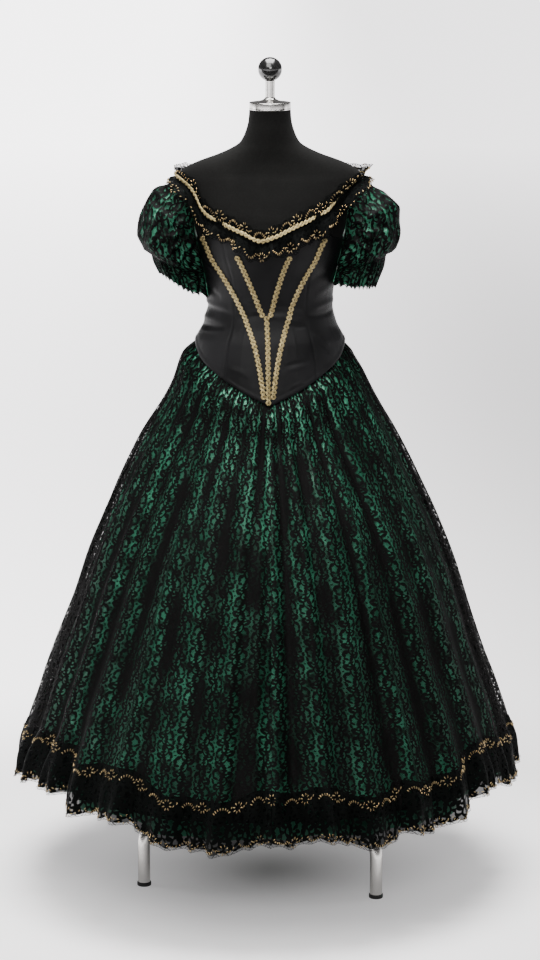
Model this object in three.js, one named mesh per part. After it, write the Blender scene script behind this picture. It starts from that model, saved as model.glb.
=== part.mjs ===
// Off-the-shoulder ball gown on a limbless dress form with a three-legged stand.
// Millimetres, +Z up, floor at z = 0, the gown's front faces -Y.
// Left and right are the wearer's: the wearer's right side lies towards -X.
import * as THREE from 'three';
import { mergeVertices } from 'three/addons/utils/BufferGeometryUtils.js';

const { sin, cos, hypot, PI } = Math;
const turn = 2 * PI;
const degree = PI / 180;

// ---- driving dimensions -------------------------------------------------
const seam = 0.3; // gap kept at every seam

// stand
const tubeWidth = 25.4; // leg and pole tube
const footSpread = 278; // centre of the stand to each foot
const legBearings = [51, 171, 291]; // degrees round from the front, towards +X
const legRise = 75; // straight length of a leg above its foot
const legBend = 65; // radius of a leg's bend
const footHeight = 8;
const footWidth = 29;
const hubHalfHeight = 32;
const hubFlat = 30; // hub centre to the flat that a leg meets

// top of the form
const capWidth = 83;
const capHeight = 15; // upright rim of the cap
const capLip = 1.5; // flat lip inside the rim's top edge
const lipRise = 1; // height of the lip above the rim
const capDome = 9; // rise of the hollow dome from the lip to the post
const postWidth = 19.5;
const postTop = 1643;
const ballWidth = 48;

// The dress form: half width and depth to front and back at each height.
const figure = [
  { z: 860, wide: 158, front: 100, back: 112 },
  { z: 930, wide: 168, front: 104, back: 124 },
  { z: 1000, wide: 164, front: 104, back: 120 },
  { z: 1060, wide: 152, front: 100, back: 110 },
  { z: 1124, wide: 138, front: 92, back: 98 },
  { z: 1160, wide: 126, front: 86, back: 88 },
  { z: 1195, wide: 121, front: 84, back: 82 },
  { z: 1250, wide: 126, front: 92, back: 85 },
  { z: 1300, wide: 138, front: 112, back: 91 },
  { z: 1335, wide: 146, front: 120, back: 95 },
  { z: 1370, wide: 157, front: 112, back: 98 },
  { z: 1400, wide: 170, front: 98, back: 98 },
  { z: 1430, wide: 181, front: 80, back: 92 },
  { z: 1450, wide: 184, front: 68, back: 82 },
  { z: 1461, wide: 180, front: 61, back: 74 },
  { z: 1473, wide: 165, front: 56, back: 68 },
  { z: 1485, wide: 139, front: 52, back: 62 },
  { z: 1497, wide: 105, front: 50, back: 58 },
  { z: 1509, wide: 78, front: 49, back: 54 },
  { z: 1521, wide: 60, front: 48, back: 51 },
  { z: 1545, wide: 48, front: 46, back: 47 },
  { z: 1565, wide: 43, front: 43, back: 43 },
  { z: 1585, wide: 41.5, front: 41.5, back: 41.5 },
];
const figureTop = figure[figure.length - 1].z;
const figureBottom = figure[0].z;

// How far the bodice's outer face stands off the form at each height.
const ease = [
  { z: 1000, out: 20 },
  { z: 1060, out: 18 },
  { z: 1124, out: 14.5 },
  { z: 1160, out: 8.5 },
  { z: 1195, out: 5.4 },
  { z: 1300, out: 4.1 },
  { z: 1400, out: 4.1 },
];
const satinWall = 1.4;
const laceWall = 1.2;

// Lower edge of the bodice, a point at the centre front; degrees round from the front.
const bodiceEdge = [
  { at: 0, z: 1008 },
  { at: 27, z: 1035 },
  { at: 62, z: 1084 },
  { at: 90, z: 1124 },
  { at: 135, z: 1116 },
  { at: 180, z: 1104 },
];
// Upper edge of the bodice: under the bertha in front and behind, low under the arms.
const bodiceTop = [
  { at: 0, z: 1328 },
  { at: 30, z: 1344 },
  { at: 46, z: 1362 },
  { at: 62, z: 1338 },
  { at: 90, z: 1330 },
  { at: 118, z: 1338 },
  { at: 140, z: 1392 },
  { at: 180, z: 1384 },
];
const princessSeam = 44; // degrees from the centre front
const sideSeam = 100;

// Neckline, where the braid lies: low at the front, over each shoulder, across the back.
const neckline = [
  { at: -180, z: 1393 },
  { at: -165, z: 1395 },
  { at: -130, z: 1422 },
  { at: -106, z: 1456 },
  { at: -90, z: 1461 },
  { at: -82, z: 1453 },
  { at: -75, z: 1439 },
  { at: -69, z: 1420 },
  { at: -63, z: 1395 },
  { at: -56, z: 1381 },
  { at: -42, z: 1368 },
  { at: -24, z: 1352 },
  { at: -8, z: 1338 },
  { at: 3, z: 1345 },
  { at: 20, z: 1362 },
  { at: 39, z: 1379 },
  { at: 51, z: 1390 },
  { at: 62, z: 1408 },
  { at: 75, z: 1437 },
  { at: 90, z: 1461 },
  { at: 106, z: 1456 },
  { at: 130, z: 1422 },
  { at: 165, z: 1395 },
  { at: 180, z: 1393 },
];
const neckStandOff = 5.9; // outer face of the bertha at its root, off the form
const braidHalf = 6; // half the width of the gold braid
const braidThick = 1.8;
const braidLift = 1.5; // braid's back off the bodice's curved face
const frillRise = 22; // lace standing above the neck braid's centre
const shoulderRise = 11; // and over a shoulder
const berthaWaves = 14;
const berthaColumnsPerWave = 6;
// Hanging depth of the bertha below the braid, shallow at the centre front.
const berthaDrop = [
  { at: -180, drop: 36 },
  { at: -90, drop: 38 },
  { at: -60, drop: 36 },
  { at: -38, drop: 28 },
  { at: -26, drop: 32 },
  { at: -14, drop: 39 },
  { at: 0, drop: 31 },
  { at: 15, drop: 41 },
  { at: 25, drop: 38 },
  { at: 45, drop: 41 },
  { at: 60, drop: 28 },
  { at: 70, drop: 26 },
  { at: 90, drop: 38 },
  { at: 180, drop: 36 },
];
// Its rows: share of that depth, how far it stands out, and both over a shoulder.
const berthaRows = [
  { share: 0, out: 0, shoulderDrop: 0, shoulderOut: 0, wave: 0 },
  { share: 0.5, out: 8, shoulderDrop: 3, shoulderOut: 14, wave: 2.5 },
  { share: 1, out: 12, shoulderDrop: 10, shoulderOut: 24, wave: 5 },
];

// The braid courses lean this far towards the wearer's right at two heights.
const braidLean = [
  { z: 1026, over: -3 },
  { z: 1120, over: -4 },
  { z: 1310, over: -13 },
];
// Braid courses on the bodice's left half: x at each height, from the upper end down.
const outerBraid = [
  { x: 113, z: 1320 },
  { x: 103, z: 1296 },
  { x: 79, z: 1256 },
  { x: 56, z: 1212 },
  { x: 38, z: 1164 },
  { x: 26, z: 1124 },
  { x: 18, z: 1083 },
  { x: 12.6, z: 1026 },
];
const innerBraid = [
  { x: 46, z: 1292 },
  { x: 37, z: 1270 },
  { x: 22, z: 1228 },
  { x: 13, z: 1200 },
  { x: 7, z: 1182 },
];
const centreBraid = [
  { x: 0, z: 1180 },
  { x: 0, z: 1120 },
  { x: 0, z: 1060 },
  { x: 0, z: 1010 },
];

// Sleeve sections from armhole to frill: outer and inner ends, and half depth.
// The two sleeves settled a little differently.
const sleeveRings = {
  left: [
    { outX: 188, outZ: 1447, inX: 154, inZ: 1338, deep: 48, gather: 0 },
    { outX: 206, outZ: 1437, inX: 150, inZ: 1318, deep: 66, gather: 2.5 },
    { outX: 232, outZ: 1417, inX: 146, inZ: 1300, deep: 78, gather: 4 },
    { outX: 256, outZ: 1388, inX: 142, inZ: 1286, deep: 83, gather: 4.5 },
    { outX: 260, outZ: 1340, inX: 140, inZ: 1276, deep: 78, gather: 4.5 },
    { outX: 250, outZ: 1308, inX: 138, inZ: 1268, deep: 66, gather: 3 },
    { outX: 233, outZ: 1297, inX: 137, inZ: 1262, deep: 54, gather: 1.5 },
    { outX: 226, outZ: 1271, inX: 135, inZ: 1252, deep: 61, gather: 4 },
    { outX: 209, outZ: 1233, inX: 134, inZ: 1240, deep: 66, gather: 5.5 },
  ],
  right: [
    { outX: 188, outZ: 1447, inX: 154, inZ: 1338, deep: 48, gather: 0 },
    { outX: 206, outZ: 1438, inX: 150, inZ: 1318, deep: 66, gather: 2.5 },
    { outX: 231, outZ: 1422, inX: 145, inZ: 1298, deep: 78, gather: 4 },
    { outX: 250, outZ: 1390, inX: 141, inZ: 1283, deep: 83, gather: 4.5 },
    { outX: 262, outZ: 1338, inX: 139, inZ: 1270, deep: 78, gather: 4.5 },
    { outX: 253, outZ: 1309, inX: 137, inZ: 1260, deep: 66, gather: 3 },
    { outX: 238, outZ: 1298, inX: 135, inZ: 1250, deep: 54, gather: 1.5 },
    { outX: 232, outZ: 1283, inX: 133, inZ: 1232, deep: 60, gather: 4 },
    { outX: 220, outZ: 1262, inX: 131, inZ: 1212, deep: 64, gather: 5.5 },
  ],
};
const sleeveFolds = 15;
const sleeveWall = 1.6; // satin with the lace mounted on it

// Skirt: share of the way from waist edge to hem, and of the way out to the hem's radius.
const skirtSpread = [
  { down: 0, out: 0 },
  { down: 0.03, out: 0.075 },
  { down: 0.1, out: 0.145 },
  { down: 0.23, out: 0.32 },
  { down: 0.42, out: 0.535 },
  { down: 0.64, out: 0.73 },
  { down: 0.84, out: 0.9 },
  { down: 1, out: 1 },
];
const skirtFolds = 30;
const laceRadius = 497; // mean radius of the lace skirt at its lower edge
const laceFold = 11; // half the depth of a fold there
const laceHem = 262; // height of the lace skirt's lower edge
const satinRadius = 479;
const satinFold = 9;
const satinHem = 222;
const tuck = 12; // skirt cloth carried up under the bodice's edge
const hipHold = 10; // the skirt lies this much closer just under the left side of the bodice
const hipShare = 0.035; // centre and half height of that place, as shares of the way down
const hipSpan = 0.035;
const hemSway = 9; // the hem hangs this far towards the wearer's right

// Hem flounce: height, distance outside the lace skirt, and its own ripple.
// The middle row stays just above the lace skirt's lower edge, so the two never cross.
const flounceRows = [
  { z: 318, least: 0, out: 2.6, ripple: 1 },
  { z: 266, least: laceHem + 1, out: 10.5, ripple: 4 },
  { z: 215, least: 0, out: 13, ripple: 7 },
];
const scallop = 4; // depth of the scallops along the flounce's lower edge
// The flounce is sewn on in uneven swags: degrees round from the front, towards +X.
const flounceSwags = [
  { at: -180, lift: 6 },
  { at: -165, lift: -10 },
  { at: -150, lift: 8 },
  { at: -138, lift: -8 },
  { at: -124, lift: 12 },
  { at: -108, lift: -6 },
  { at: -90, lift: 2 },
  { at: -74, lift: 22 },
  { at: -63, lift: 40 },
  { at: -56, lift: 34 },
  { at: -49, lift: 10 },
  { at: -42, lift: 16 },
  { at: -34, lift: 18 },
  { at: -22, lift: -12 },
  { at: -9, lift: -13 },
  { at: 0, lift: 12 },
  { at: 5, lift: -1 },
  { at: 12, lift: 14 },
  { at: 21, lift: -14 },
  { at: 28, lift: -13 },
  { at: 33, lift: 4 },
  { at: 39, lift: -7 },
  { at: 48, lift: 2 },
  { at: 55, lift: 22 },
  { at: 62, lift: 36 },
  { at: 72, lift: 16 },
  { at: 88, lift: -2 },
  { at: 104, lift: 10 },
  { at: 120, lift: -8 },
  { at: 134, lift: 9 },
  { at: 150, lift: -9 },
  { at: 166, lift: -4 },
  { at: 180, lift: 6 },
];

// ---- reading the tables -------------------------------------------------
// Smooth value of one column of a table, by the column that its rows are sorted on.
function read(table, key, column, value) {
  const last = table.length - 1;
  if (value <= table[0][key]) return table[0][column];
  if (value >= table[last][key]) return table[last][column];
  let i = 0;
  while (table[i + 1][key] < value) i += 1;
  const slope = (k) => {
    if (k === last) return 0;
    if (k === 0) return (table[1][column] - table[0][column]) / (table[1][key] - table[0][key]);
    const before = (table[k][column] - table[k - 1][column]) / (table[k][key] - table[k - 1][key]);
    const after = (table[k + 1][column] - table[k][column]) / (table[k + 1][key] - table[k][key]);
    return before * after <= 0 ? 0 : (2 * before * after) / (before + after);
  };
  const span = table[i + 1][key] - table[i][key];
  const t = (value - table[i][key]) / span;
  const stay = (1 - t) * (1 - t);
  return (
    table[i][column] * (1 + 2 * t) * stay +
    slope(i) * span * t * stay +
    table[i + 1][column] * t * t * (3 - 2 * t) -
    slope(i + 1) * span * t * t * (1 - t)
  );
}

// Degrees away from the centre front, the same on both sides of the body.
const fromFront = (angle) => Math.acos(cos(angle)) / degree;
const bearing = (angle) => Math.atan2(sin(angle), cos(angle)) / degree; // signed
const edgeAt = (angle) => read(bodiceEdge, 'at', 'z', fromFront(angle));
const topAt = (angle) => read(bodiceTop, 'at', 'z', fromFront(angle));
const neckAt = (angle) => read(neckline, 'at', 'z', bearing(angle));

const polar = (angle, radius, z) => new THREE.Vector3(radius * sin(angle), -radius * cos(angle), z);

// Distance from the body's axis to the form's face in one direction at one height.
function figureRadius(angle, z) {
  const wide = read(figure, 'z', 'wide', z);
  const deep = read(figure, 'z', cos(angle) > 0 ? 'front' : 'back', z);
  return 1 / hypot(sin(angle) / wide, cos(angle) / deep);
}

const bodiceRadius = (angle, z) => figureRadius(angle, z) + read(ease, 'z', 'out', z);
const bodicePoint = (angle, z, out = 0) => polar(angle, bodiceRadius(angle, z) + out, z);

// 1 on top of a shoulder, 0 at the centre front and back.
const shoulder = (angle) => Math.max(0, 1 - Math.abs(fromFront(angle) - 90) / 34) ** 1.4;

// ---- solids from grids of points ----------------------------------------
function solidFrom(points, triangles) {
  const geometry = new THREE.BufferGeometry();
  const coordinates = points.flatMap((p) => [p.x, p.y, p.z]);
  geometry.setAttribute('position', new THREE.Float32BufferAttribute(coordinates, 3));
  let volume = 0;
  for (const [a, b, c] of triangles) {
    volume += points[a].dot(new THREE.Vector3().crossVectors(points[b], points[c]));
  }
  const outward = volume > 0 ? triangles : triangles.map(([a, b, c]) => [a, c, b]);
  geometry.setIndex(outward.flat());
  return mergeVertices(geometry, 1e-4);
}

// Unit normals of a grid of points, turned away from each row's core point.
function gridNormals(rows, around, coreOf) {
  const count = rows[0].length;
  return rows.map((row, r) => {
    const above = rows[Math.max(r - 1, 0)];
    const below = rows[Math.min(r + 1, rows.length - 1)];
    const core = coreOf(row);
    return row.map((point, c) => {
      const next = around ? (c + 1) % count : Math.min(c + 1, count - 1);
      const back = around ? (c + count - 1) % count : Math.max(c - 1, 0);
      const along = row[next].clone().sub(row[back]);
      const down = below[c].clone().sub(above[c]);
      const normal = down.cross(along).normalize();
      return normal.dot(point.clone().sub(core)) < 0 ? normal.negate() : normal;
    });
  });
}

const onAxis = (row) => new THREE.Vector3(0, 0, row[0].z);
const middleOf = (row) =>
  row.reduce((sum, p) => sum.add(p), new THREE.Vector3()).divideScalar(row.length);

// A cloth wall behind a grid of outer points: closed around, or an open panel.
function clothWall(rows, thickness, { around = true, coreOf = onAxis } = {}) {
  const normals = gridNormals(rows, around, coreOf);
  const inner = rows.map((row, r) =>
    row.map((p, c) => p.clone().addScaledVector(normals[r][c], -thickness)),
  );
  return wallBetween(rows, inner, around);
}

function wallBetween(outer, inner, around) {
  const count = outer[0].length;
  const size = outer.length * count;
  const points = [...outer.flat(), ...inner.flat()];
  const triangles = [];
  const quad = (a, b, c, d) => triangles.push([a, b, c], [a, c, d]);
  const columns = around ? count : count - 1;
  for (let c = 0; c < columns; c += 1) {
    const n = (c + 1) % count;
    for (let r = 0; r + 1 < outer.length; r += 1) {
      const top = r * count;
      const low = top + count;
      quad(top + c, low + c, low + n, top + n);
      quad(size + top + c, size + top + n, size + low + n, size + low + c);
    }
    const foot = (outer.length - 1) * count;
    quad(c, n, size + n, size + c);
    quad(foot + c, size + foot + c, size + foot + n, foot + n);
  }
  if (!around) {
    for (let r = 0; r + 1 < outer.length; r += 1) {
      const top = r * count;
      const low = top + count;
      const end = count - 1;
      quad(top, size + top, size + low, low);
      quad(top + end, low + end, size + low + end, size + top + end);
    }
  }
  return solidFrom(points, triangles);
}

// A filled body through closed rings, with a fan over each end.
function filledBody(rings) {
  const count = rings[0].length;
  const points = rings.flat();
  const triangles = [];
  for (let r = 0; r + 1 < rings.length; r += 1) {
    for (let c = 0; c < count; c += 1) {
      const n = (c + 1) % count;
      const a = r * count;
      const b = a + count;
      triangles.push([a + c, b + c, b + n], [a + c, b + n, a + n]);
    }
  }
  for (const [ring, flip] of [[0, false], [rings.length - 1, true]]) {
    const centre = points.push(middleOf(rings[ring])) - 1;
    for (let c = 0; c < count; c += 1) {
      const here = ring * count + c;
      const next = ring * count + ((c + 1) % count);
      triangles.push(flip ? [centre, next, here] : [centre, here, next]);
    }
  }
  return solidFrom(points, triangles);
}

const ringOf = (count, pointAt) =>
  Array.from({ length: count }, (_, c) => pointAt((c / count) * turn, c));
const steps = (from, to, count) =>
  Array.from({ length: count + 1 }, (_, i) => from + ((to - from) * i) / count);

// ---- materials ----------------------------------------------------------
const finish = (color, roughness, metalness = 0) =>
  new THREE.MeshStandardMaterial({ color, roughness, metalness });
const blackJersey = finish('#1b1b1a', 0.9);
const blackSatin = finish('#17171a', 0.35);
const greenSatin = finish('#0e5a37', 0.35);
const blackLace = finish('#0b0f0d', 0.8);
const laceOnSatin = finish('#0a2a1c', 0.55);
const goldBraid = finish('#b9994f', 0.45, 0.6);
const chrome = finish('#c9ccd0', 0.12, 1);
const blackRubber = finish('#141414', 0.85);
const blackKnob = finish('#101012', 0.3);

const gown = new THREE.Group();

function add(name, geometry, material, parent = gown) {
  const mesh = new THREE.Mesh(geometry, material);
  mesh.name = name;
  parent.add(mesh);
  return mesh;
}

// ---- dress form ---------------------------------------------------------
const torsoSides = 28;
const torsoRing = ({ z }) => ringOf(torsoSides, (angle) => polar(angle, figureRadius(angle, z), z));
add('form_torso', filledBody(figure.map(torsoRing)), blackJersey);

function upright(name, profile, sides, material) {
  const geometry = new THREE.LatheGeometry(profile.map(([r, z]) => new THREE.Vector2(r, z)), sides);
  geometry.rotateX(PI / 2);
  return add(name, geometry, material);
}

const capBase = figureTop + seam;
const lipRadius = capWidth / 2 - capLip;
const domeSteps = 5;
const capProfile = [
  [0, capBase],
  [capWidth / 2, capBase],
  [capWidth / 2, capBase + capHeight],
  ...steps(1, domeSteps, domeSteps - 1).map((i) => {
    const lean = (i / domeSteps) * (PI / 2);
    const radius = lipRadius - (lipRadius - postWidth / 2) * sin(lean);
    return [radius, capBase + capHeight + lipRise + capDome * (1 - cos(lean))];
  }),
];
const capTop = capProfile[capProfile.length - 1][1];
capProfile.push([0, capTop]);
upright('neck_cap', capProfile, 24, chrome);
const postBase = capTop + seam;
const postRadius = postWidth / 2;
upright(
  'neck_post',
  [[0, postBase], [postRadius, postBase], [postRadius, postTop], [0, postTop]],
  16,
  chrome,
);

// The ball sits on the post with a small flat as wide as the post.
const ballRadius = ballWidth / 2;
const seatAngle = Math.asin(postWidth / ballWidth);
const ballBase = postTop + seam;
const ballCentre = ballBase + ballRadius * cos(seatAngle);
const ballProfile = steps(seatAngle, PI, 9).map((a) => [
  ballRadius * sin(a),
  ballCentre - ballRadius * cos(a),
]);
ballProfile[ballProfile.length - 1][0] = 0;
upright('ball_knob', [[0, ballBase], ...ballProfile], 18, blackKnob);

// ---- stand --------------------------------------------------------------
const legTop = footHeight + seam + legRise + legBend; // height of a leg's level run
const poleBase = legTop + hubHalfHeight + seam;
const poleTop = figureBottom - seam;
const tubeRadius = tubeWidth / 2;
upright(
  'stand_pole',
  [[0, poleBase], [tubeRadius, poleBase], [tubeRadius, poleTop], [0, poleTop]],
  16,
  chrome,
);

const hubSides = 12;
const hubOutline = new THREE.Shape();
for (let i = 0; i < hubSides; i += 1) {
  const corner = ((i + 0.5) / hubSides) * turn + legBearings[0] * degree;
  const reach = hubFlat / cos(PI / hubSides);
  const [x, y] = [reach * sin(corner), -reach * cos(corner)];
  if (i === 0) hubOutline.moveTo(x, y);
  else hubOutline.lineTo(x, y);
}
const hub = new THREE.ExtrudeGeometry(hubOutline, { depth: 2 * hubHalfHeight, bevelEnabled: false });
add('stand_hub', hub, chrome).position.z = legTop - hubHalfHeight;

// A leg rises from its foot, bends over and runs level to a flat of the hub.
class LegCourse extends THREE.Curve {
  constructor() {
    super();
    this.run = footSpread - legBend - hubFlat - seam;
    this.bendLength = (legBend * PI) / 2;
    this.whole = legRise + this.bendLength + this.run;
  }

  getPoint(t) {
    const s = t * this.whole;
    const base = footHeight + seam;
    if (s < legRise) return new THREE.Vector3(footSpread, 0, base + s);
    if (s < legRise + this.bendLength) {
      const a = (s - legRise) / legBend;
      const away = footSpread - legBend * (1 - cos(a));
      return new THREE.Vector3(away, 0, base + legRise + legBend * sin(a));
    }
    return new THREE.Vector3(footSpread - legBend - (s - legRise - this.bendLength), 0, legTop);
  }
}
const tubeSides = 10;
const tubeSection = new THREE.Shape().absarc(0, 0, tubeRadius, 0, turn);
const legTube = () =>
  new THREE.ExtrudeGeometry(tubeSection, {
    extrudePath: new LegCourse(),
    steps: 14,
    curveSegments: tubeSides / 2,
  });

legBearings.forEach((bearing, i) => {
  const group = new THREE.Group();
  group.rotation.z = (bearing - 90) * degree;
  gown.add(group);
  add(`leg_${i + 1}`, legTube(), chrome, group);
  const foot = new THREE.CylinderGeometry(footWidth / 2, footWidth / 2, footHeight, 16);
  foot.rotateX(PI / 2);
  add(`foot_${i + 1}`, foot, blackRubber, group).position.set(footSpread, 0, footHeight / 2);
});

// ---- bodice -------------------------------------------------------------
const waistRadius = 90; // about the least distance from a seam to the body's axis

// A panel between two seams, given in degrees round from the front.
function bodicePanel(fromAt, toAt, columns, rows) {
  const inset = seam / 2 / waistRadius;
  const angles = steps(fromAt * degree + inset, toAt * degree - inset, columns);
  const layer = (out) =>
    steps(0, 1, rows).map((share) =>
      angles.map((angle) => {
        const z = topAt(angle) + (edgeAt(angle) - topAt(angle)) * share;
        return bodicePoint(angle, z, out);
      }),
    );
  return wallBetween(layer(0), layer(-satinWall), false);
}

add('bodice_front', bodicePanel(-princessSeam, princessSeam, 10, 10), blackSatin);
const bodiceSides = [
  { side: 'left', from: princessSeam, to: sideSeam },
  { side: 'right', from: -sideSeam, to: -princessSeam },
];
const bodiceBacks = [
  { side: 'left', from: sideSeam, to: 180 },
  { side: 'right', from: -180, to: -sideSeam },
];
bodiceSides.forEach(({ side, from, to }) => {
  add(`bodice_side_${side}`, bodicePanel(from, to, 5, 11), blackSatin);
});
bodiceBacks.forEach(({ side, from, to }) => {
  add(`bodice_back_${side}`, bodicePanel(from, to, 7, 7), blackSatin);
});

// ---- gold braid on the bodice -------------------------------------------
// The direction round the body at which the bodice's face lies at a given x and height.
function bearingAt(x, z) {
  let low = -PI / 2;
  let high = PI / 2;
  for (let i = 0; i < 30; i += 1) {
    const middle = (low + high) / 2;
    if (bodicePoint(middle, z).x < x) low = middle;
    else high = middle;
  }
  return low;
}

function bodiceBraid(course, mirror) {
  const path = course.map(({ x, z }) => {
    const over = read(braidLean, 'z', 'over', z);
    return new THREE.Vector2(mirror * x + over, z);
  });
  const grid = path.map((here, i) => {
    const ahead = path[Math.min(i + 1, path.length - 1)];
    const behind = path[Math.max(i - 1, 0)];
    const across = ahead.clone().sub(behind).normalize().multiplyScalar(braidHalf - seam);
    return [-1, 0, 1].map((side) => {
      const x = here.x - side * across.y;
      const z = here.y + side * across.x;
      return { angle: bearingAt(x, z), z };
    });
  });
  const layer = (out) =>
    grid.map((row) => row.map(({ angle, z }) => bodicePoint(angle, z, out)));
  return wallBetween(layer(braidLift + braidThick), layer(braidLift), false);
}

[['left', 1], ['right', -1]].forEach(([side, mirror]) => {
  add(`braid_outer_${side}`, bodiceBraid(outerBraid, mirror), goldBraid);
  add(`braid_inner_${side}`, bodiceBraid(innerBraid, mirror), goldBraid);
});
add('braid_centre', bodiceBraid(centreBraid, 1), goldBraid);

// ---- sleeves ------------------------------------------------------------
// Moves a point straight out from the body's axis until it is clear of the bodice.
function clearOfBody(point, gap) {
  const angle = Math.atan2(point.x, -point.y);
  const least = bodiceRadius(angle, point.z) + gap;
  const radius = hypot(point.x, point.y);
  return radius >= least ? point : polar(angle, least, point.z);
}

// The gathers are deeper in some places round the arm than in others.
const gatherStrength = (angle) => 0.8 + 0.3 * sin(3 * angle + 1) + 0.2 * sin(5 * angle);
const sleeveClear = 3.2; // sleeve cloth to the bodice's face

// Rings of a sleeve's outer face, two columns to each gathered fold; side -1 is the right.
function sleeveGrid(rings, side) {
  return rings.map(({ outX, outZ, inX, inZ, deep, gather }) => {
    const centre = new THREE.Vector3((outX + inX) / 2, 0, (outZ + inZ) / 2);
    const along = new THREE.Vector3((outX - inX) / 2, 0, (outZ - inZ) / 2);
    return ringOf(2 * sleeveFolds, (angle, c) => {
      const lift = (c % 2 ? -1 : 1) * gather * gatherStrength(angle);
      const share = 1 + lift / deep;
      const point = centre.clone().addScaledVector(along, cos(angle) * share);
      point.y = -deep * sin(angle) * share;
      const clear = clearOfBody(point, sleeveClear);
      clear.x *= side;
      return clear;
    });
  });
}
const sleeves = { left: sleeveGrid(sleeveRings.left, 1), right: sleeveGrid(sleeveRings.right, -1) };
Object.entries(sleeves).forEach(([side, grid]) => {
  add(`sleeve_${side}`, clothWall(grid, sleeveWall, { coreOf: middleOf }), laceOnSatin);
});

const sleeveCrown = 3; // last ring of a sleeve that the bertha lies over

// Moves a point off the sleeve that lies under it, along the sleeve's own normal.
function clearOfSleeve(point, gap) {
  const grid = point.x > 0 ? sleeves.left : sleeves.right;
  const normals = gridNormals(grid, true, middleOf);
  let best = { distance: Infinity };
  grid.forEach((row, r) => row.forEach((p, c) => {
    const distance = p.distanceTo(point);
    if (distance < best.distance) best = { distance, p, normal: normals[r][c], r };
  }));
  if (best.r > sleeveCrown) return point;
  const height = best.normal.dot(point.clone().sub(best.p));
  return height >= gap ? point : point.clone().addScaledVector(best.normal, gap - height);
}

// ---- bertha, neck frill and neck braid ----------------------------------
const berthaColumns = berthaWaves * berthaColumnsPerWave;
// How far the frill's free edge stands out over a shoulder, more on the wearer's left.
const frillLean = (angle) => 11 + 5 * sin(angle);
const frillClear = 3; // least distance from the frill to the form
const frillCrimp = 3; // ruffle of the frill's free edge
const neckRadius = (angle) => figureRadius(angle, neckAt(angle)) + neckStandOff;

// A point of the frill, share 0 at its root under the braid and 1 at its free edge.
function frillPoint(angle, share, out = 0, wave = 0) {
  const rise = frillRise + (shoulderRise - frillRise) * shoulder(angle);
  const z = neckAt(angle) - braidHalf + (braidHalf + rise) * share;
  const lying = figureRadius(angle, z) + neckStandOff;
  const standing = Math.max(neckRadius(angle), lying) + frillLean(angle) * share;
  const radius = lying + (standing - lying) * shoulder(angle);
  return polar(angle, Math.max(radius, figureRadius(angle, z) + frillClear) + out + wave, z);
}

const frillRows = [0, 0.5, 1].map((share) =>
  ringOf(berthaColumns, (angle, c) => {
    const crimp = share === 1 && c % 2 === 0 ? frillCrimp : 0;
    return frillPoint(angle, share, 0, crimp);
  }),
);
add('neck_frill', clothWall(frillRows, laceWall), blackLace);

const braidShares = [0.02, 0.5]; // the braid's two edges on the frill
const braidOff = 0.5; // frill to the braid's back
const braidLayer = (out) =>
  braidShares.map((share) => ringOf(berthaColumns, (angle) => frillPoint(angle, share, out)));
const neckBraid = wallBetween(braidLayer(braidOff + braidThick), braidLayer(braidOff), true);
add('neck_braid', neckBraid, goldBraid);

const berthaRootGap = 0.6; // below the braid's lower edge
const berthaClear = 3; // bertha's back to the bodice
const berthaOverSleeve = 8; // bertha's face above the sleeve's
const bodiceUpper = 1400; // the bodice's own ease ends here

function berthaPoint(angle, row) {
  const atShoulder = shoulder(angle);
  const out = row.out + (row.shoulderOut - row.out) * atShoulder;
  const fall = row.share * read(berthaDrop, 'at', 'drop', bearing(angle));
  const drop = fall + (row.shoulderDrop - fall) * atShoulder;
  const rootZ = neckAt(angle) - braidHalf - berthaRootGap;
  const z = rootZ - drop;
  const wave = row.wave * cos(berthaWaves * angle);
  const root = figureRadius(angle, rootZ) + neckStandOff;
  const body = bodiceRadius(angle, Math.min(z, bodiceUpper)) + laceWall + berthaClear;
  const radius = row.share === 0 ? root : Math.max(root + out + wave, body);
  const point = polar(angle, radius, z);
  return row.share === 0 ? point : clearOfSleeve(point, berthaOverSleeve);
}
const berthaGrid = berthaRows.map((row) =>
  ringOf(berthaColumns, (angle) => berthaPoint(angle, row)),
);
add('bertha_flounce', clothWall(berthaGrid, laceWall), blackLace);

// ---- skirt --------------------------------------------------------------
// Folds are uneven: each column's direction drifts, and some folds are deeper.
function foldAngle(phase) {
  const angle = phase / skirtFolds;
  const drift = 0.3 * sin(3 * angle) + 0.25 * sin(5 * angle + 2);
  return angle + drift / skirtFolds;
}
const foldDepth = (angle) => 0.85 + 0.22 * sin(4 * angle + 0.7) + 0.15 * sin(7 * angle + 2);
const gatherDepth = 0.16; // share of a fold's depth that it has at the waist
const gatherLead = 0.03; // share of the way down over which the folds open

// Radius of a skirt layer by direction, share of the way down, and place on a fold.
function skirtRadius(layer, angle, share, phase) {
  const waist = bodiceRadius(angle, edgeAt(angle)) - layer.under;
  const spread = read(skirtSpread, 'down', 'out', share);
  const deepening = gatherDepth + (1 - gatherDepth) * share ** 0.8;
  const depth = layer.fold * foldDepth(angle) * deepening * Math.min(1, share / gatherLead);
  const near = Math.exp(-(((share - hipShare) / hipSpan) ** 2));
  const hold = hipHold * near * Math.max(0, sin(angle)) ** 3;
  const sway = hemSway * share ** 4 * sin(angle);
  return waist + (layer.radius - waist) * spread + depth * cos(phase) - hold - sway;
}

function skirtRow(layer, columnsPerFold, pointAt) {
  const columns = skirtFolds * columnsPerFold;
  return Array.from({ length: columns }, (_, c) => {
    const phase = (c / columnsPerFold) * turn;
    return pointAt(foldAngle(phase), phase, c);
  });
}

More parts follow.
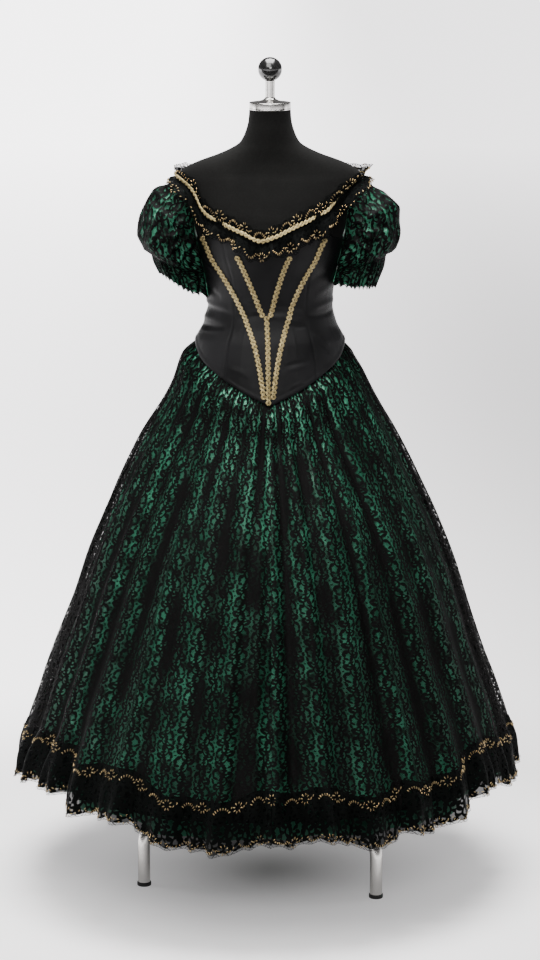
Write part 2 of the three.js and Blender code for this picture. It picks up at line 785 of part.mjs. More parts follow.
// The tucked edge under the bodice, then one row for each share of the way down.
function skirtGrid(layer, columnsPerFold, shares) {
  const tucked = skirtRow(layer, columnsPerFold, (angle) => {
    const z = edgeAt(angle) + tuck;
    return polar(angle, bodiceRadius(angle, z) - layer.under, z);
  });
  const rows = shares.map((share) =>
    skirtRow(layer, columnsPerFold, (angle, phase) => {
      const z = edgeAt(angle) + (layer.hem - edgeAt(angle)) * share;
      return polar(angle, skirtRadius(layer, angle, share, phase), z);
    }),
  );
  return [tucked, ...rows];
}

// Cloth walls of a skirt are level through the cloth, so deep folds never cross.
function skirtWall(rows, thickness) {
  const inner = rows.map((row) => row.map((p) => {
    const shrink = 1 - thickness / hypot(p.x, p.y);
    return new THREE.Vector3(p.x * shrink, p.y * shrink, p.z);
  }));
  return wallBetween(rows, inner, true);
}

const skirtShares = [0, 0.04, 0.13, 0.33, 0.64, 1];
const lacePerFold = 4; // columns of points to a fold
const satinPerFold = 3;
// How far inside the bodice's outer face each layer's waist lies.
const laceUnder = satinWall + 3.2;
const satinUnder = satinWall + laceWall + 4.3;
const laceSkirt = { radius: laceRadius, fold: laceFold, hem: laceHem, under: laceUnder };
const satinSkirt = { radius: satinRadius, fold: satinFold, hem: satinHem, under: satinUnder };
const satinGrid = skirtGrid(satinSkirt, satinPerFold, skirtShares);
const laceGrid = skirtGrid(laceSkirt, lacePerFold, skirtShares);
add('skirt_satin', skirtWall(satinGrid, satinWall), greenSatin);
add('skirt_lace', skirtWall(laceGrid, laceWall), blackLace);

// ---- hem flounce --------------------------------------------------------
// Radius of the lace skirt's faceted face, between two of its rows.
function laceFace(angle, share, phase) {
  const next = skirtShares.findIndex((s) => s >= share);
  const above = skirtShares[next - 1];
  const t = (share - above) / (skirtShares[next] - above);
  const radiusAt = (s) => skirtRadius(laceSkirt, angle, s, phase);
  return radiusAt(above) * (1 - t) + radiusAt(skirtShares[next]) * t;
}

// The flounce follows the skirt's folds and ripples more towards its scalloped lower edge.
const flounceLift = (angle) => read(flounceSwags, 'at', 'lift', bearing(angle));
const flounceGrid = flounceRows.map((row, r) =>
  skirtRow(laceSkirt, lacePerFold, (angle, phase, c) => {
    const scalloped = r === flounceRows.length - 1 && c % 2;
    const z = Math.max(row.z + flounceLift(angle), row.least) + (scalloped ? scallop : 0);
    const share = Math.min(1, (edgeAt(angle) - z) / (edgeAt(angle) - laceHem));
    const ripple = row.ripple * (cos(phase) * 0.6 + cos(2 * phase + 3 * angle) * 0.4);
    return polar(angle, laceFace(angle, share, phase) + row.out + ripple, z);
  }),
);
add('hem_flounce', skirtWall(flounceGrid, laceWall), blackLace);

export default gown;
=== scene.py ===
# Off-the-shoulder ball gown of lace over green satin, on a limbless dress form and its stand.
# Shape tables are in millimetres, meshes in metres; +Z up, the gown's front faces -Y.
# Left and right are the wearer's: the wearer's left lies towards +X.
import math
from functools import partial

import bpy
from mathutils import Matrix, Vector, noise


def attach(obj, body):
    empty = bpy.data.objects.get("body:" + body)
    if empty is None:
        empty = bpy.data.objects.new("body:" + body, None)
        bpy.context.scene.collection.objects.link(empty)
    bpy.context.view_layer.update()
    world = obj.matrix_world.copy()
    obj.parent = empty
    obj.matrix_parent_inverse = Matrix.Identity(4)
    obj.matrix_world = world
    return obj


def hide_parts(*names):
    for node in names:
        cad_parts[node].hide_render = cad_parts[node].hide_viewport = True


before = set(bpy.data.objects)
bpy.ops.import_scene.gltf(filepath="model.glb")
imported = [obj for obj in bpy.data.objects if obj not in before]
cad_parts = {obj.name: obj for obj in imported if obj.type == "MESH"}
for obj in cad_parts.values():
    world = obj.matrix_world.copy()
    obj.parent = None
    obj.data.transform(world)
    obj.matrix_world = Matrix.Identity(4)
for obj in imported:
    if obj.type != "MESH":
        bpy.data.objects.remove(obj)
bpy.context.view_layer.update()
print("frame loaded:", len(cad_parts), "nodes")

mm = 0.001
turn = 2 * math.pi
scene = bpy.context.scene

# Camera, floor and lights.
view = {
    "place": (0.0, -6.0, 2.084),
    "pitch": 78.22,  # degrees up from straight down
    "lens": 112.65,
    "sensor": 36.0,  # along the frame's long side
}
cameraData = bpy.data.cameras.new("studioCamera")
cameraData.sensor_fit = "VERTICAL"
cameraData.sensor_height = view["sensor"]
cameraData.lens = view["lens"]
cameraData.clip_end = 200.0
camera = bpy.data.objects.new("studioCamera", cameraData)
camera.location = view["place"]
camera.rotation_euler = (math.radians(view["pitch"]), 0.0, 0.0)
scene.collection.objects.link(camera)
scene.camera = camera

studio = {
    "worldColour": (0.95, 0.94, 0.95),
    "worldStrength": 0.16,  # as a light
    "worldShown": 2.8,  # as the backdrop
    "floorColour": (0.80, 0.79, 0.79),
    "floorDark": (0.06, 0.06, 0.06),
    "floorReach": 90.0,
    # painted shade: the floor's colour darkens from here towards +X
    "paintedShadeSide": (-0.1, 1.2),  # the paper dims a little from here towards +X
    "paperEnds": (-1.0, -0.65),  # the white paper stops in front of the gown, y in metres
    "paperFar": (-9.0, -6.0),  # and the hall is light again beyond the dark floor
    # painted light: the paper glows by its own emission from here on, metres from the gown; weaker towards +X
    "glowFrom": 0.55, "glowNear": 1.6, "glowFar": 16.0, "glow": (1.15, 2.5),
    "glowSides": (-1.3, 1.3), "nearShare": (1.9, 0.25), "farShare": (2.2, 1.9),
    # painted light: a ring of glow on the paper under the hem, in place of light coming back from the paper round the
    # stand: how far out, and how strong
    "paintedReturnIn": (-0.06, 0.5), "paintedReturnOut": (0.6, 0.95), "paintedReturnLight": 0.58,
    # name, place, aimed at, size, watts, colour
    "lamps": [
        ("skyBox", (0.0, 0.2, 4.7), (0.0, 0.1, 0.0), 3.0, 620.0, (1.0, 0.99, 0.99)),
        ("keyBox", (-0.7, -2.4, 3.9), (0.0, 0.0, 0.9), 2.2, 125.0, (1.0, 0.99, 0.97)),
        ("frontBox", (0.4, -4.9, 3.2), (0.0, 0.0, 0.8), 1.3, 90.0, (1.0, 0.99, 0.98)),
        ("lowLeft", (-3.2, 0.6, 0.9), (0.0, 0.1, 0.1), 1.2, 18.0, (0.98, 0.99, 1.0)),
        ("lowRight", (3.2, 0.6, 0.9), (0.0, 0.1, 0.1), 1.2, 10.0, (0.98, 0.99, 1.0)),
    ],
}


def addLamp(name, place, aim, size, watts, colour):
    data = bpy.data.lights.new(name, "AREA")
    data.shape = "SQUARE"
    data.size = size
    data.energy = watts
    data.color = colour
    lamp = bpy.data.objects.new(name, data)
    lamp.location = place
    lamp.rotation_euler = (Vector(aim) - Vector(place)).to_track_quat("-Z", "Y").to_euler()
    scene.collection.objects.link(lamp)


for lampRow in studio["lamps"]:
    addLamp(*lampRow)

world = bpy.data.worlds.new("paleStudio")
scene.world = world
world.use_nodes = True
worldTree = world.node_tree
worldShade = worldTree.nodes["Background"]
worldShade.inputs["Color"].default_value = (*studio["worldColour"], 1.0)
rays = worldTree.nodes.new("ShaderNodeLightPath")
shown = worldTree.nodes.new("ShaderNodeMapRange")
shown.inputs["To Min"].default_value = studio["worldStrength"]
shown.inputs["To Max"].default_value = studio["worldShown"]
worldTree.links.new(rays.outputs["Is Camera Ray"], shown.inputs["Value"])
worldTree.links.new(shown.outputs["Result"], worldShade.inputs["Strength"])


# Node helpers: each adds to the node tree in hand.
inHand = {}


def feed(socket, value):
    if isinstance(value, bpy.types.NodeSocket):
        inHand["tree"].links.new(value, socket)
    elif socket.type == "RGBA" and len(value) == 3:
        socket.default_value = (*value, 1.0)
    else:
        socket.default_value = value


def addNode(kind, inputs=None, **settings):
    node = inHand["tree"].nodes.new(kind)
    for key, value in settings.items():
        setattr(node, key, value)
    for key, value in (inputs or {}).items():
        feed(node.inputs[key], value)
    return node


def calc(operation, *values, clamp=False):
    return addNode("ShaderNodeMath", dict(enumerate(values)), operation=operation, use_clamp=clamp).outputs[0]


plus, minus, times, over, timesPlus = (
    partial(calc, operation) for operation in ("ADD", "SUBTRACT", "MULTIPLY", "DIVIDE", "MULTIPLY_ADD")
)
highest, absolute, sine, cosine, root, wholeOf = (
    partial(calc, operation) for operation in ("MAXIMUM", "ABSOLUTE", "SINE", "COSINE", "SQRT", "FLOOR")
)


def remap(value, low, high, toLow=0.0, toHigh=1.0, smooth=True):
    ends = {"Value": value, "From Min": low, "From Max": high, "To Min": toLow, "To Max": toHigh}
    kind = "SMOOTHSTEP" if smooth else "LINEAR"
    return addNode("ShaderNodeMapRange", ends, interpolation_type=kind).outputs["Result"]


def blend(factor, first, second):
    return addNode("ShaderNodeMix", {0: factor, 6: first, 7: second}, data_type="RGBA").outputs[2]


def noiseAt(vector, scale, detail=3.0, roughness=0.5):
    inputs = {"Vector": vector, "Scale": scale, "Detail": detail, "Roughness": roughness}
    return addNode("ShaderNodeTexNoise", inputs).outputs["Fac"]


def partsOf(vector):
    return addNode("ShaderNodeSeparateXYZ", {0: vector}).outputs


def objectPoint():
    return addNode("ShaderNodeTexCoord").outputs["Object"]


def clothPoint():
    return addNode("ShaderNodeUVMap", uv_map="cloth").outputs["UV"]


# A pair of coordinates in millimetres from the cloth's own map.
def clothMillimetres():
    return [times(part, 1000.0) for part in partsOf(clothPoint())[:2]]


def newMaterial(name):
    material = bpy.data.materials.new(name)
    material.use_nodes = True
    inHand["tree"] = material.node_tree
    return material


# Sets a material's shader: relief is a height, its strength and its depth in metres.
def dress(material, relief, **values):
    shader = material.node_tree.nodes["Principled BSDF"]
    if relief:
        bumps = addNode("ShaderNodeBump", dict(zip(("Height", "Strength", "Distance"), relief)))
        feed(shader.inputs["Normal"], bumps.outputs["Normal"])
    for name, value in values.items():
        feed(shader.inputs[name.replace("_", " ")], value)
    return material


# Threads of a net: two slanting families, 1 on a thread and 0 in a hole.
def netThreads(u, v, hole, thread):
    families = []
    for lean in (0.6, -0.6):
        wave = calc("PINGPONG", over(timesPlus(v, lean, u), hole), 0.5)
        families.append(remap(wave, thread * 0.55, thread, 1.0, 0.0))
    return highest(*families)


# Materials.
def satinMaterial(name, spec):
    material = newMaterial(name)
    point = clothPoint()
    u, v = clothMillimetres()
    cloud = noiseAt(point, spec["cloudScale"])
    crumple = noiseAt(point, spec["crumpleScale"], 4.0, 0.55)
    weave = timesPlus(sine(times(v, spec["ribsPerMm"] * turn)), 0.3, noiseAt(point, 900.0, 2.0))
    return dress(
        material, (timesPlus(crumple, spec["crumple"], weave), 0.35, 0.00035),
        Base_Color=blend(remap(cloud, 0.3, 0.7), spec["dark"], spec["light"]),
        Roughness=remap(cloud, 0.25, 0.75, spec["roughness"] - 0.05, spec["roughness"] + 0.06),
        Anisotropic=spec["anisotropic"], Sheen_Weight=spec["sheen"], Sheen_Roughness=0.4,
        Sheen_Tint=spec["sheenTint"], Specular_IOR_Level=spec["specular"],
    )


greenCloth = {
    "dark": (0.010, 0.17, 0.085), "light": (0.13, 0.72, 0.42), "roughness": 0.33, "specular": 0.65,
    "cloudScale": 7.0, "ribsPerMm": 1.6, "crumpleScale": 45.0, "crumple": 2.5, "anisotropic": 0.4,
    "sheen": 0.15, "sheenTint": (0.5, 0.95, 0.72),
}
greenSatin = satinMaterial("greenSatin", greenCloth)
# painted shade: the inside of the skirt's satin wall takes a near-black copy of the green satin
satinBackShade = satinMaterial("greenSatinBackShade", dict(
    greenCloth, dark=(0.001, 0.008, 0.004), light=(0.002, 0.016, 0.008), roughness=0.75, specular=0.15,
    anisotropic=0.0, sheen=0.0,
))
blackSatin = satinMaterial("blackSatin", dict(
    greenCloth, dark=(0.0030, 0.0030, 0.0033), light=(0.0072, 0.0071, 0.0078), roughness=0.42, specular=0.15,
    cloudScale=11.0, crumpleScale=60.0, crumple=2.2, anisotropic=0.35, sheen=0.0,
))


# One leaf of the lace, 1 at its middle, 0 on its outline and below 0 outside.
def leafShape(point, centreU, centreV, degrees, halfLength, halfWidth):
    place = addNode("ShaderNodeMapping", {
        "Vector": point, "Location": (centreU, centreV, 0.0), "Rotation": (0.0, 0.0, math.radians(degrees)),
        "Scale": (halfLength, halfWidth, 1.0),
    }, vector_type="TEXTURE")
    x, y = partsOf(place.outputs[0])[:2]
    return minus(timesPlus(times(x, x), -1.0, 1.0), absolute(y))


# A rosette with petals round its centre, 0 on its outline and below 0 outside.
def flowerShape(u, v, centreU, centreV, radius, petals):
    x, y = minus(u, centreU), minus(v, centreV)
    away = root(timesPlus(x, x, times(y, y)))
    lobes = cosine(times(calc("ARCTAN2", y, x), float(petals)))
    return over(minus(timesPlus(lobes, radius * 0.24, radius * 0.76), away), radius * 0.5)


# Floral lace: a wandering vine up each column with leaves and a rosette, over a fine net.
# One half repeat is charted; the next half is its mirror image, so the vine swings to and fro.
skirtLaceChart = {
    "columnWidth": 52.0,
    "halfRepeat": 32.0,
    "columnShift": 1.37,  # each column starts this many half repeats above the last
    "vineSwing": 9.0,
    "vineWidth": 2.4,
    # centre across and up, turn in degrees, half length, half width
    "leaves": [
        (-4.0, 5.0, 62.0, 9.5, 5.2),
        (14.0, 9.0, 20.0, 9.0, 4.8),
        (16.5, 18.5, -38.0, 9.5, 5.2),
        (-15.5, 26.5, 48.0, 10.0, 5.4),
        (-20.5, 17.0, 95.0, 8.0, 4.2),
        (4.0, 28.5, -20.0, 8.5, 4.4),
        (21.0, 28.0, 80.0, 7.0, 3.8),
        (-17.0, 6.0, -30.0, 8.0, 3.8),
    ],
    # centre across and up, radius, petals
    "flowers": [(1.0, 17.0, 11.0, 5), (-23.5, 0.0, 6.4, 6), (24.5, 0.0, 6.2, 6)],
}


def floralLace(u, v, chart):
    across = over(u, chart["columnWidth"])
    column = calc("ROUND", across)
    localU = times(minus(across, column), chart["columnWidth"])
    down = timesPlus(column, chart["columnShift"], over(v, chart["halfRepeat"]))
    step = wholeOf(down)
    localV = times(minus(down, step), chart["halfRepeat"])
    odd = absolute(calc("MODULO", step, 2.0))
    sidedU = times(localU, timesPlus(odd, -2.0, 1.0))
    point = addNode("ShaderNodeCombineXYZ", {0: sidedU, 1: localV}).outputs[0]
    swing = cosine(times(localV, math.pi / chart["halfRepeat"]))
    offVine = absolute(timesPlus(swing, -chart["vineSwing"], sidedU))
    shape = timesPlus(offVine, -1.0 / chart["vineWidth"], 1.0)
    for leaf in chart["leaves"]:
        shape = highest(shape, leafShape(point, *leaf))
    for flower in chart["flowers"]:
        shape = highest(shape, flowerShape(sidedU, localV, *flower))
    return shape


# Lace seen aslant hides more of what is under it; in the hollow of a fold it is made denser too, painted shade in the
# hollows.
def deepen(cover, spec):
    facing = addNode("ShaderNodeLayerWeight").outputs["Facing"]
    slant = remap(facing, spec["slantFrom"], 1.0, 0.0, spec["slant"])
    # here and there the pattern closes up
    closed = remap(noiseAt(clothPoint(), 30.0, 3.0, 0.6), 0.45, 0.66, 0.0, spec["closed"])
    veiled = highest(slant, closed)
    if spec["hollow"] > 0:
        # painted shade: the black lace closes up in the hollows of the folds
        ridge = partsOf(addNode("ShaderNodeUVMap", uv_map="fold").outputs["UV"])[0]
        level = timesPlus(noiseAt(clothPoint(), 11.0), 1.1, timesPlus(ridge, 0.9, -0.26))
        veiled = highest(veiled, remap(level, 0.7, 0.3, 0.0, spec["hollow"]))
    bare = times(minus(1.0, cover), minus(1.0, veiled))
    return minus(1.0, bare, clamp=True)


def laceMaterial(name, spec):
    material = newMaterial(name)
    u, v = clothMillimetres()
    point = clothPoint()
    # the drawing of the lace drifts to and fro, so that no two repeats are quite alike
    drawn = []
    for place, driftScale in ((u, 24.0), (v, 19.0)):
        drift = timesPlus(noiseAt(point, driftScale, 2.0), spec["drift"], -spec["drift"] / 2)
        drawn.append(timesPlus(place, spec["fine"], drift))
    shape = floralLace(*drawn, spec["chart"])
    solid = remap(shape, -0.06, 0.12)
    outline = times(solid, remap(shape, 0.12, 0.45, 1.0, 0.0))
    veil = highest(times(netThreads(u, v, spec["netHole"], spec["netThread"]), spec["netCover"]), spec["haze"])
    filling = timesPlus(outline, 1.0 - spec["solidCover"], spec["solidCover"])
    cover = highest(veil, times(solid, filling), clamp=True)
    threads = sine(times(plus(u, v), 5.5))
    tone = timesPlus(threads, 0.25, times(outline, 0.6), clamp=True)
    return dress(
        material, (timesPlus(threads, 0.12, plus(solid, outline)), 0.5, 0.0006), Alpha=deepen(cover, spec),
        Base_Color=blend(tone, spec["dark"], spec["light"]), Roughness=0.66, Specular_IOR_Level=0.05,
    )


skirtLaceSpec = {
    "chart": skirtLaceChart, "drift": 20.0, "netHole": 3.0, "netThread": 0.1, "netCover": 0.83, "haze": 0.18,
    "solidCover": 0.985, "dark": (0.0006, 0.0005, 0.0005), "light": (0.0036, 0.0030, 0.0030),
    "slantFrom": 0.24, "slant": 0.93, "hollow": 0.95, "closed": 0.9, "fine": 1.3,
}
blackLace = laceMaterial("blackLace", skirtLaceSpec)
sleeveLace = laceMaterial("sleeveLace", dict(skirtLaceSpec, hollow=0.0, slant=0.8, haze=0.4))


# Galloon: dense ground with small scrolls, and an open edge of looped picots below.
def galloonMaterial(name, spec):
    material = newMaterial(name)
    u, v = clothMillimetres()
    picot, openBand = spec["picot"], spec["openBand"]
    net = netThreads(u, v, 2.6, 0.2)
    lobe = absolute(sine(times(u, math.pi / spec["scallopWidth"])))
    fromEdge = minus(v, times(minus(1.0, lobe), spec["scallopDepth"]))
    ringU = calc("PINGPONG", u, picot / 2)
    ringV = minus(fromEdge, picot * 0.48)
    ringOff = absolute(minus(root(timesPlus(ringU, ringU, times(ringV, ringV))), picot * 0.4))
    loops = remap(ringOff, 0.35, 0.95, 1.0, 0.0)
    inBand = remap(fromEdge, picot * 0.8, picot * 1.05)
    wave = sine(times(u, turn / 19.0))
    scroll = remap(absolute(timesPlus(wave, 4.2, minus(fromEdge, openBand * 0.72))), 0.7, 1.5, 1.0, 0.0)
    sparse = highest(times(net, 0.75), scroll)
    motif = remap(floralLace(u, times(v, 1.15), spec["chart"]), -0.1, 0.1)
    dense = timesPlus(motif, 1.0 - spec["ground"], spec["ground"])
    ground = plus(sparse, times(remap(fromEdge, openBand, openBand + 2.0), minus(dense, sparse)))
    return dress(
        material, (plus(motif, net), 0.45, 0.0006), Alpha=highest(loops, times(inBand, ground), clamp=True),
        Base_Color=blend(motif, spec["dark"], spec["light"]), Roughness=0.64, Specular_IOR_Level=0.03,
    )


galloonSpec = {
    "chart": dict(skirtLaceChart, columnWidth=40.0, halfRepeat=27.0),
    "scallopWidth": 28.0, "scallopDepth": 4.0, "picot": 6.0, "openBand": 11.0, "ground": 0.9,
    "dark": (0.0004, 0.0006, 0.0006), "light": (0.0014, 0.0018, 0.0016),
}
galloon = galloonMaterial("galloonLace", galloonSpec)
frillSpec = dict(galloonSpec, scallopWidth=19.0, scallopDepth=2.5, picot=4.6, openBand=7.0)
frillLace = galloonMaterial("frillLace", frillSpec)


def metalMaterial(name, colour, roughness, brushScale, brush):
    material = newMaterial(name)
    point = objectPoint()
    stretch = addNode("ShaderNodeMapping", {"Vector": point, "Scale": (1.0, 1.0, brushScale)}).outputs[0]
    streak = noiseAt(stretch, 40.0, 4.0, 0.6)
    smudge = noiseAt(point, 14.0)
    worn = tuple(0.82 * part for part in colour)
    return dress(
        material, (streak, brush, 0.0002), Base_Color=blend(remap(smudge, 0.35, 0.75), colour, worn),
        Roughness=timesPlus(streak, 0.08, timesPlus(smudge, 0.1, roughness - 0.09)), Metallic=1.0,
    )


chrome = metalMaterial("chrome", (0.50, 0.49, 0.47), 0.2, 18.0, 0.12)
beadMetal = metalMaterial("bronzeBead", (0.36, 0.265, 0.135), 0.28, 1.0, 0.1)


def jerseyMaterial():
    material = newMaterial("blackJersey")
    point = objectPoint()
    knitting = {"Vector": point, "Scale": 260.0, "Distortion": 1.2}
    knit = addNode("ShaderNodeTexWave", knitting, wave_type="BANDS", bands_direction="Z").outputs["Fac"]
    lint = noiseAt(point, 300.0, 4.0, 0.6)
    tone = timesPlus(lint, 0.5, times(noiseAt(point, 7.0), 0.5))
    return dress(
        material, (timesPlus(lint, 0.8, knit), 0.25, 0.0004),
        Base_Color=blend(remap(tone, 0.35, 0.65), (0.0034, 0.0034, 0.0032), (0.0064, 0.0064, 0.0060)),
        Roughness=0.9, Sheen_Weight=0.02, Sheen_Roughness=0.5, Specular_IOR_Level=0.04,
    )


def plainMaterial(name, dark, light, roughness, coat=0.0):
    material = newMaterial(name)
    mottle = noiseAt(objectPoint(), 45.0, 4.0)
    return dress(
        material, (noiseAt(objectPoint(), 380.0, 2.0), 0.08, 0.0002), Base_Color=blend(mottle, dark, light),
        Roughness=timesPlus(mottle, 0.12, roughness - 0.06), Coat_Weight=coat, Coat_Roughness=0.08,
    )


blackJersey = jerseyMaterial()
blackRubber = plainMaterial("blackRubber", (0.006, 0.006, 0.006), (0.014, 0.014, 0.014), 0.75)
blackKnob = plainMaterial("blackKnob", (0.004, 0.004, 0.004), (0.008, 0.008, 0.008), 0.22, 0.5)


# White paper under and behind the gown, with painted light: it glows by its own emission, evenly away from the gown,
# in place of lamp light on it.
def floorMaterial():
    material = newMaterial("paleFloor")
    point = objectPoint()
    x, y = partsOf(point)[:2]
    away = addNode("ShaderNodeVectorMath", {0: point}, operation="LENGTH").outputs["Value"]
    paper = highest(remap(y, *studio["paperEnds"]), remap(y, *studio["paperFar"], 1.0, 0.0))
    bright, speckled, shaded = (tuple(share * part for part in studio["floorColour"]) for share in (1.0, 0.97, 0.8))
    white = blend(noiseAt(point, 3.0), bright, speckled)
    # painted shade: the paper's colour darkens towards +X
    white = blend(remap(x, *studio["paintedShadeSide"]), white, shaded)
    # painted light: the paper's own emission rises away from the gown and is stronger towards -X
    nearGlow, farGlow = studio["glow"]
    near = remap(away, studio["glowFrom"], studio["glowNear"], 0.0, nearGlow)
    far = remap(away, studio["glowNear"], studio["glowFar"], 0.0, farGlow - nearGlow, False)
    far = times(far, remap(x, *studio["glowSides"], *studio["farShare"]))
    glow = times(timesPlus(near, remap(x, *studio["glowSides"], *studio["nearShare"]), far), paper)
    # painted light: a ring of emission on the floor under the hem lightens the gown's shadow
    rising = remap(away, *studio["paintedReturnIn"], 0.0, studio["paintedReturnLight"])
    paintedReturn = times(rising, remap(away, *studio["paintedReturnOut"], 1.0, 0.0))
    return dress(
        material, None, Base_Color=blend(paper, studio["floorDark"], white), Emission_Strength=plus(glow, paintedReturn),
        Emission_Color=(0.96, 0.94, 0.955), Roughness=0.8, Specular_IOR_Level=0.1,
    )


floorPaint = floorMaterial()


# Metallic thread: fine twist along each cord in relief, with painted shade in the twist's hollows and a painted
# highlight on its rounds, mixed with random grain.
def goldMaterial():
    material = newMaterial("goldThread")
    u, v = clothMillimetres()
    twist = sine(times(timesPlus(v, 1.3, u), turn / 1.1))
    grain = noiseAt(objectPoint(), 520.0, 3.0, 0.6)
    tone = timesPlus(twist, 0.22, grain)
    return dress(
        material, (tone, 0.6, 0.0003), Metallic=0.72, Roughness=remap(grain, 0.3, 0.7, 0.36, 0.56),
        # painted shade and highlight: the colour follows the twist, dark in its hollows and light on its rounds, plus
        # random grain
        Base_Color=blend(remap(tone, 0.3, 0.75), (0.13, 0.09, 0.026), (0.74, 0.61, 0.32)),
    )


goldThread = goldMaterial()
print("materials made")

# The figure under the gown.
# height, half width, depth to the front, depth to the back
figure = [
    (860, 158, 100, 112), (930, 168, 104, 124), (1000, 164, 104, 120), (1060, 152, 100, 110),
    (1124, 138, 92, 98), (1160, 126, 86, 88), (1195, 121, 84, 82), (1250, 126, 92, 85),
    (1300, 138, 112, 91), (1335, 146, 120, 95), (1370, 157, 112, 98), (1400, 170, 98, 98),
    (1430, 181, 80, 92), (1450, 184, 68, 82), (1461, 180, 61, 74), (1473, 165, 56, 68),
    (1485, 139, 52, 62), (1497, 105, 50, 58), (1509, 78, 49, 54), (1521, 60, 48, 51),
    (1545, 48, 46, 47), (1565, 43, 43, 43), (1585, 41.5, 41.5, 41.5),
]
bodiceEase = [(1000, 20), (1060, 18), (1124, 14.5), (1160, 8.5), (1195, 5.4), (1300, 4.1), (1400, 4.1)]
bodiceEdge = [(0, 1008), (27, 1035), (62, 1084), (90, 1124), (135, 1116), (180, 1104)]
bodiceTop = [(0, 1328), (30, 1344), (46, 1362), (62, 1338), (90, 1330), (118, 1338), (140, 1392), (180, 1384)]
neckline = [
    (-180, 1393), (-165, 1395), (-130, 1422), (-106, 1456), (-90, 1461), (-82, 1453), (-75, 1439), (-69, 1420),
    (-63, 1395), (-56, 1381), (-42, 1368), (-24, 1352), (-8, 1338), (3, 1345), (20, 1362), (39, 1379),
    (51, 1390), (62, 1408), (75, 1437), (90, 1461), (106, 1456), (130, 1422), (165, 1395), (180, 1393),
]

shoulderSpread = 34  # degrees to either side


# Smooth value of a table's column, by its first column.
def readTable(rows, value, column=1):
    last = len(rows) - 1
    if value <= rows[0][0]:
        return rows[0][column]
    if value >= rows[last][0]:
        return rows[last][column]
    i = 0
    while rows[i + 1][0] < value:
        i += 1

    def steep(k):
        return (rows[k + 1][column] - rows[k][column]) / (rows[k + 1][0] - rows[k][0])

    def slope(k):
        if k == last:
            return 0.0
        if k == 0:
            return steep(0)
        before, after = steep(k - 1), steep(k)
        return 0.0 if before * after <= 0 else 2 * before * after / (before + after)

    span = rows[i + 1][0] - rows[i][0]
    t = (value - rows[i][0]) / span
    stay = (1 - t) * (1 - t)
    return (
        rows[i][column] * (1 + 2 * t) * stay + slope(i) * span * t * stay
        + rows[i + 1][column] * t * t * (3 - 2 * t) - slope(i + 1) * span * t * t * (1 - t)
    )


def fromFront(angle):
    return math.degrees(math.acos(max(-1.0, min(1.0, math.cos(angle)))))


def signedDegrees(angle):
    return math.degrees(math.atan2(math.sin(angle), math.cos(angle)))


def edgeAt(angle):
    return readTable(bodiceEdge, fromFront(angle))


def topAt(angle):
    return readTable(bodiceTop, fromFront(angle))


def neckAt(angle):
    return readTable(neckline, signedDegrees(angle))


def polar(angle, radius, z):
    return Vector((radius * math.sin(angle), -radius * math.cos(angle), z))


def figureRadius(angle, z):
    wide = readTable(figure, z, 1)
    deep = readTable(figure, z, 2 if math.cos(angle) > 0 else 3)
    return 1 / math.hypot(math.sin(angle) / wide, math.cos(angle) / deep)


def bodiceRadius(angle, z):
    return figureRadius(angle, z) + readTable(bodiceEase, z)


# 1 over a shoulder's middle, 0 in front and behind.
def shoulder(angle):
    return max(0.0, 1 - abs(fromFront(angle) - 90) / shoulderSpread) ** 1.4


def bump(value, centre, width):
    return math.exp(-(((value - centre) / width) ** 2))


def wrinkle(x, y, z, scale):
    return noise.noise(Vector((x, y, z)) / scale)


def steps(first, last, count):
    return [first + (last - first) * i / count for i in range(count + 1)]


# Mesh helpers.
def addPiece(name, mesh):
    piece = bpy.data.objects.new(name, mesh)
    scene.collection.objects.link(piece)
    return piece


def finishMesh(name, points, faces, uvs, material, smoothAngle=50.0):
    mesh = bpy.data.meshes.new(name)
    mesh.from_pydata([tuple(p * mm) for p in points], [], faces)
    if uvs:
        layer = mesh.uv_layers.new(name="cloth")
        layer.data.foreach_set("uv", [part for face in uvs for pair in face for part in pair])
    mesh.validate()
    mesh.shade_smooth()
    mesh.set_sharp_from_angle(angle=math.radians(smoothAngle))
    mesh.materials.append(material)
    return addPiece(name, mesh)


# Rows of points run down the cloth and columns run towards +X at the front.
# With an inner layer the cloth is a closed wall, otherwise a single skin.
def clothPiece(name, rows, material, uvAt, around=False, inner=None, turned=False):
    count = len(rows[0])
    size = len(rows) * count
    lastRow, end = len(rows) - 1, count - 1
    points = [p for row in [*rows, *(inner or [])] for p in row]
    faces, uvs = [], []

    def quad(corners, places):
        if turned:
            corners, places = corners[::-1], places[::-1]
        faces.append(corners)
        uvs.append([uvAt(r, c) for r, c in places])

    columns = count if around else end
    for r in range(lastRow):
        top, low = r * count, (r + 1) * count
        for c in range(columns):
            n = (c + 1) % count
            square = [(r, c), (r + 1, c), (r + 1, c + 1), (r, c + 1)]
            quad([top + c, low + c, low + n, top + n], square)
            if inner:
                quad([size + top + c, size + top + n, size + low + n, size + low + c], [square[0], *square[:0:-1]])
    if inner:
        foot = lastRow * count
        for c in range(columns):
            n = (c + 1) % count
            quad([c, n, size + n, size + c], [(0, c), (0, c + 1), (0, c + 1), (0, c)])
            low = [(lastRow, c), (lastRow, c), (lastRow, c + 1), (lastRow, c + 1)]
            quad([foot + c, size + foot + c, size + foot + n, foot + n], low)
        for r in range(0 if around else lastRow):
            top, low = r * count, (r + 1) * count
            quad([top, size + top, size + low, low], [(r, 0), (r, 0), (r + 1, 0), (r + 1, 0)])
            side = [(r, end), (r + 1, end), (r + 1, end), (r, end)]
            quad([top + end, low + end, size + low + end, size + top + end], side)
    return finishMesh(name, points, faces, uvs, material)


# A grid of places round the body: rows of shares down the cloth, columns of turns about it.
def aroundGrid(columns, shares, pointAt):
    return [[pointAt(turn * c / columns, share) for c in range(columns)] for share in shares]


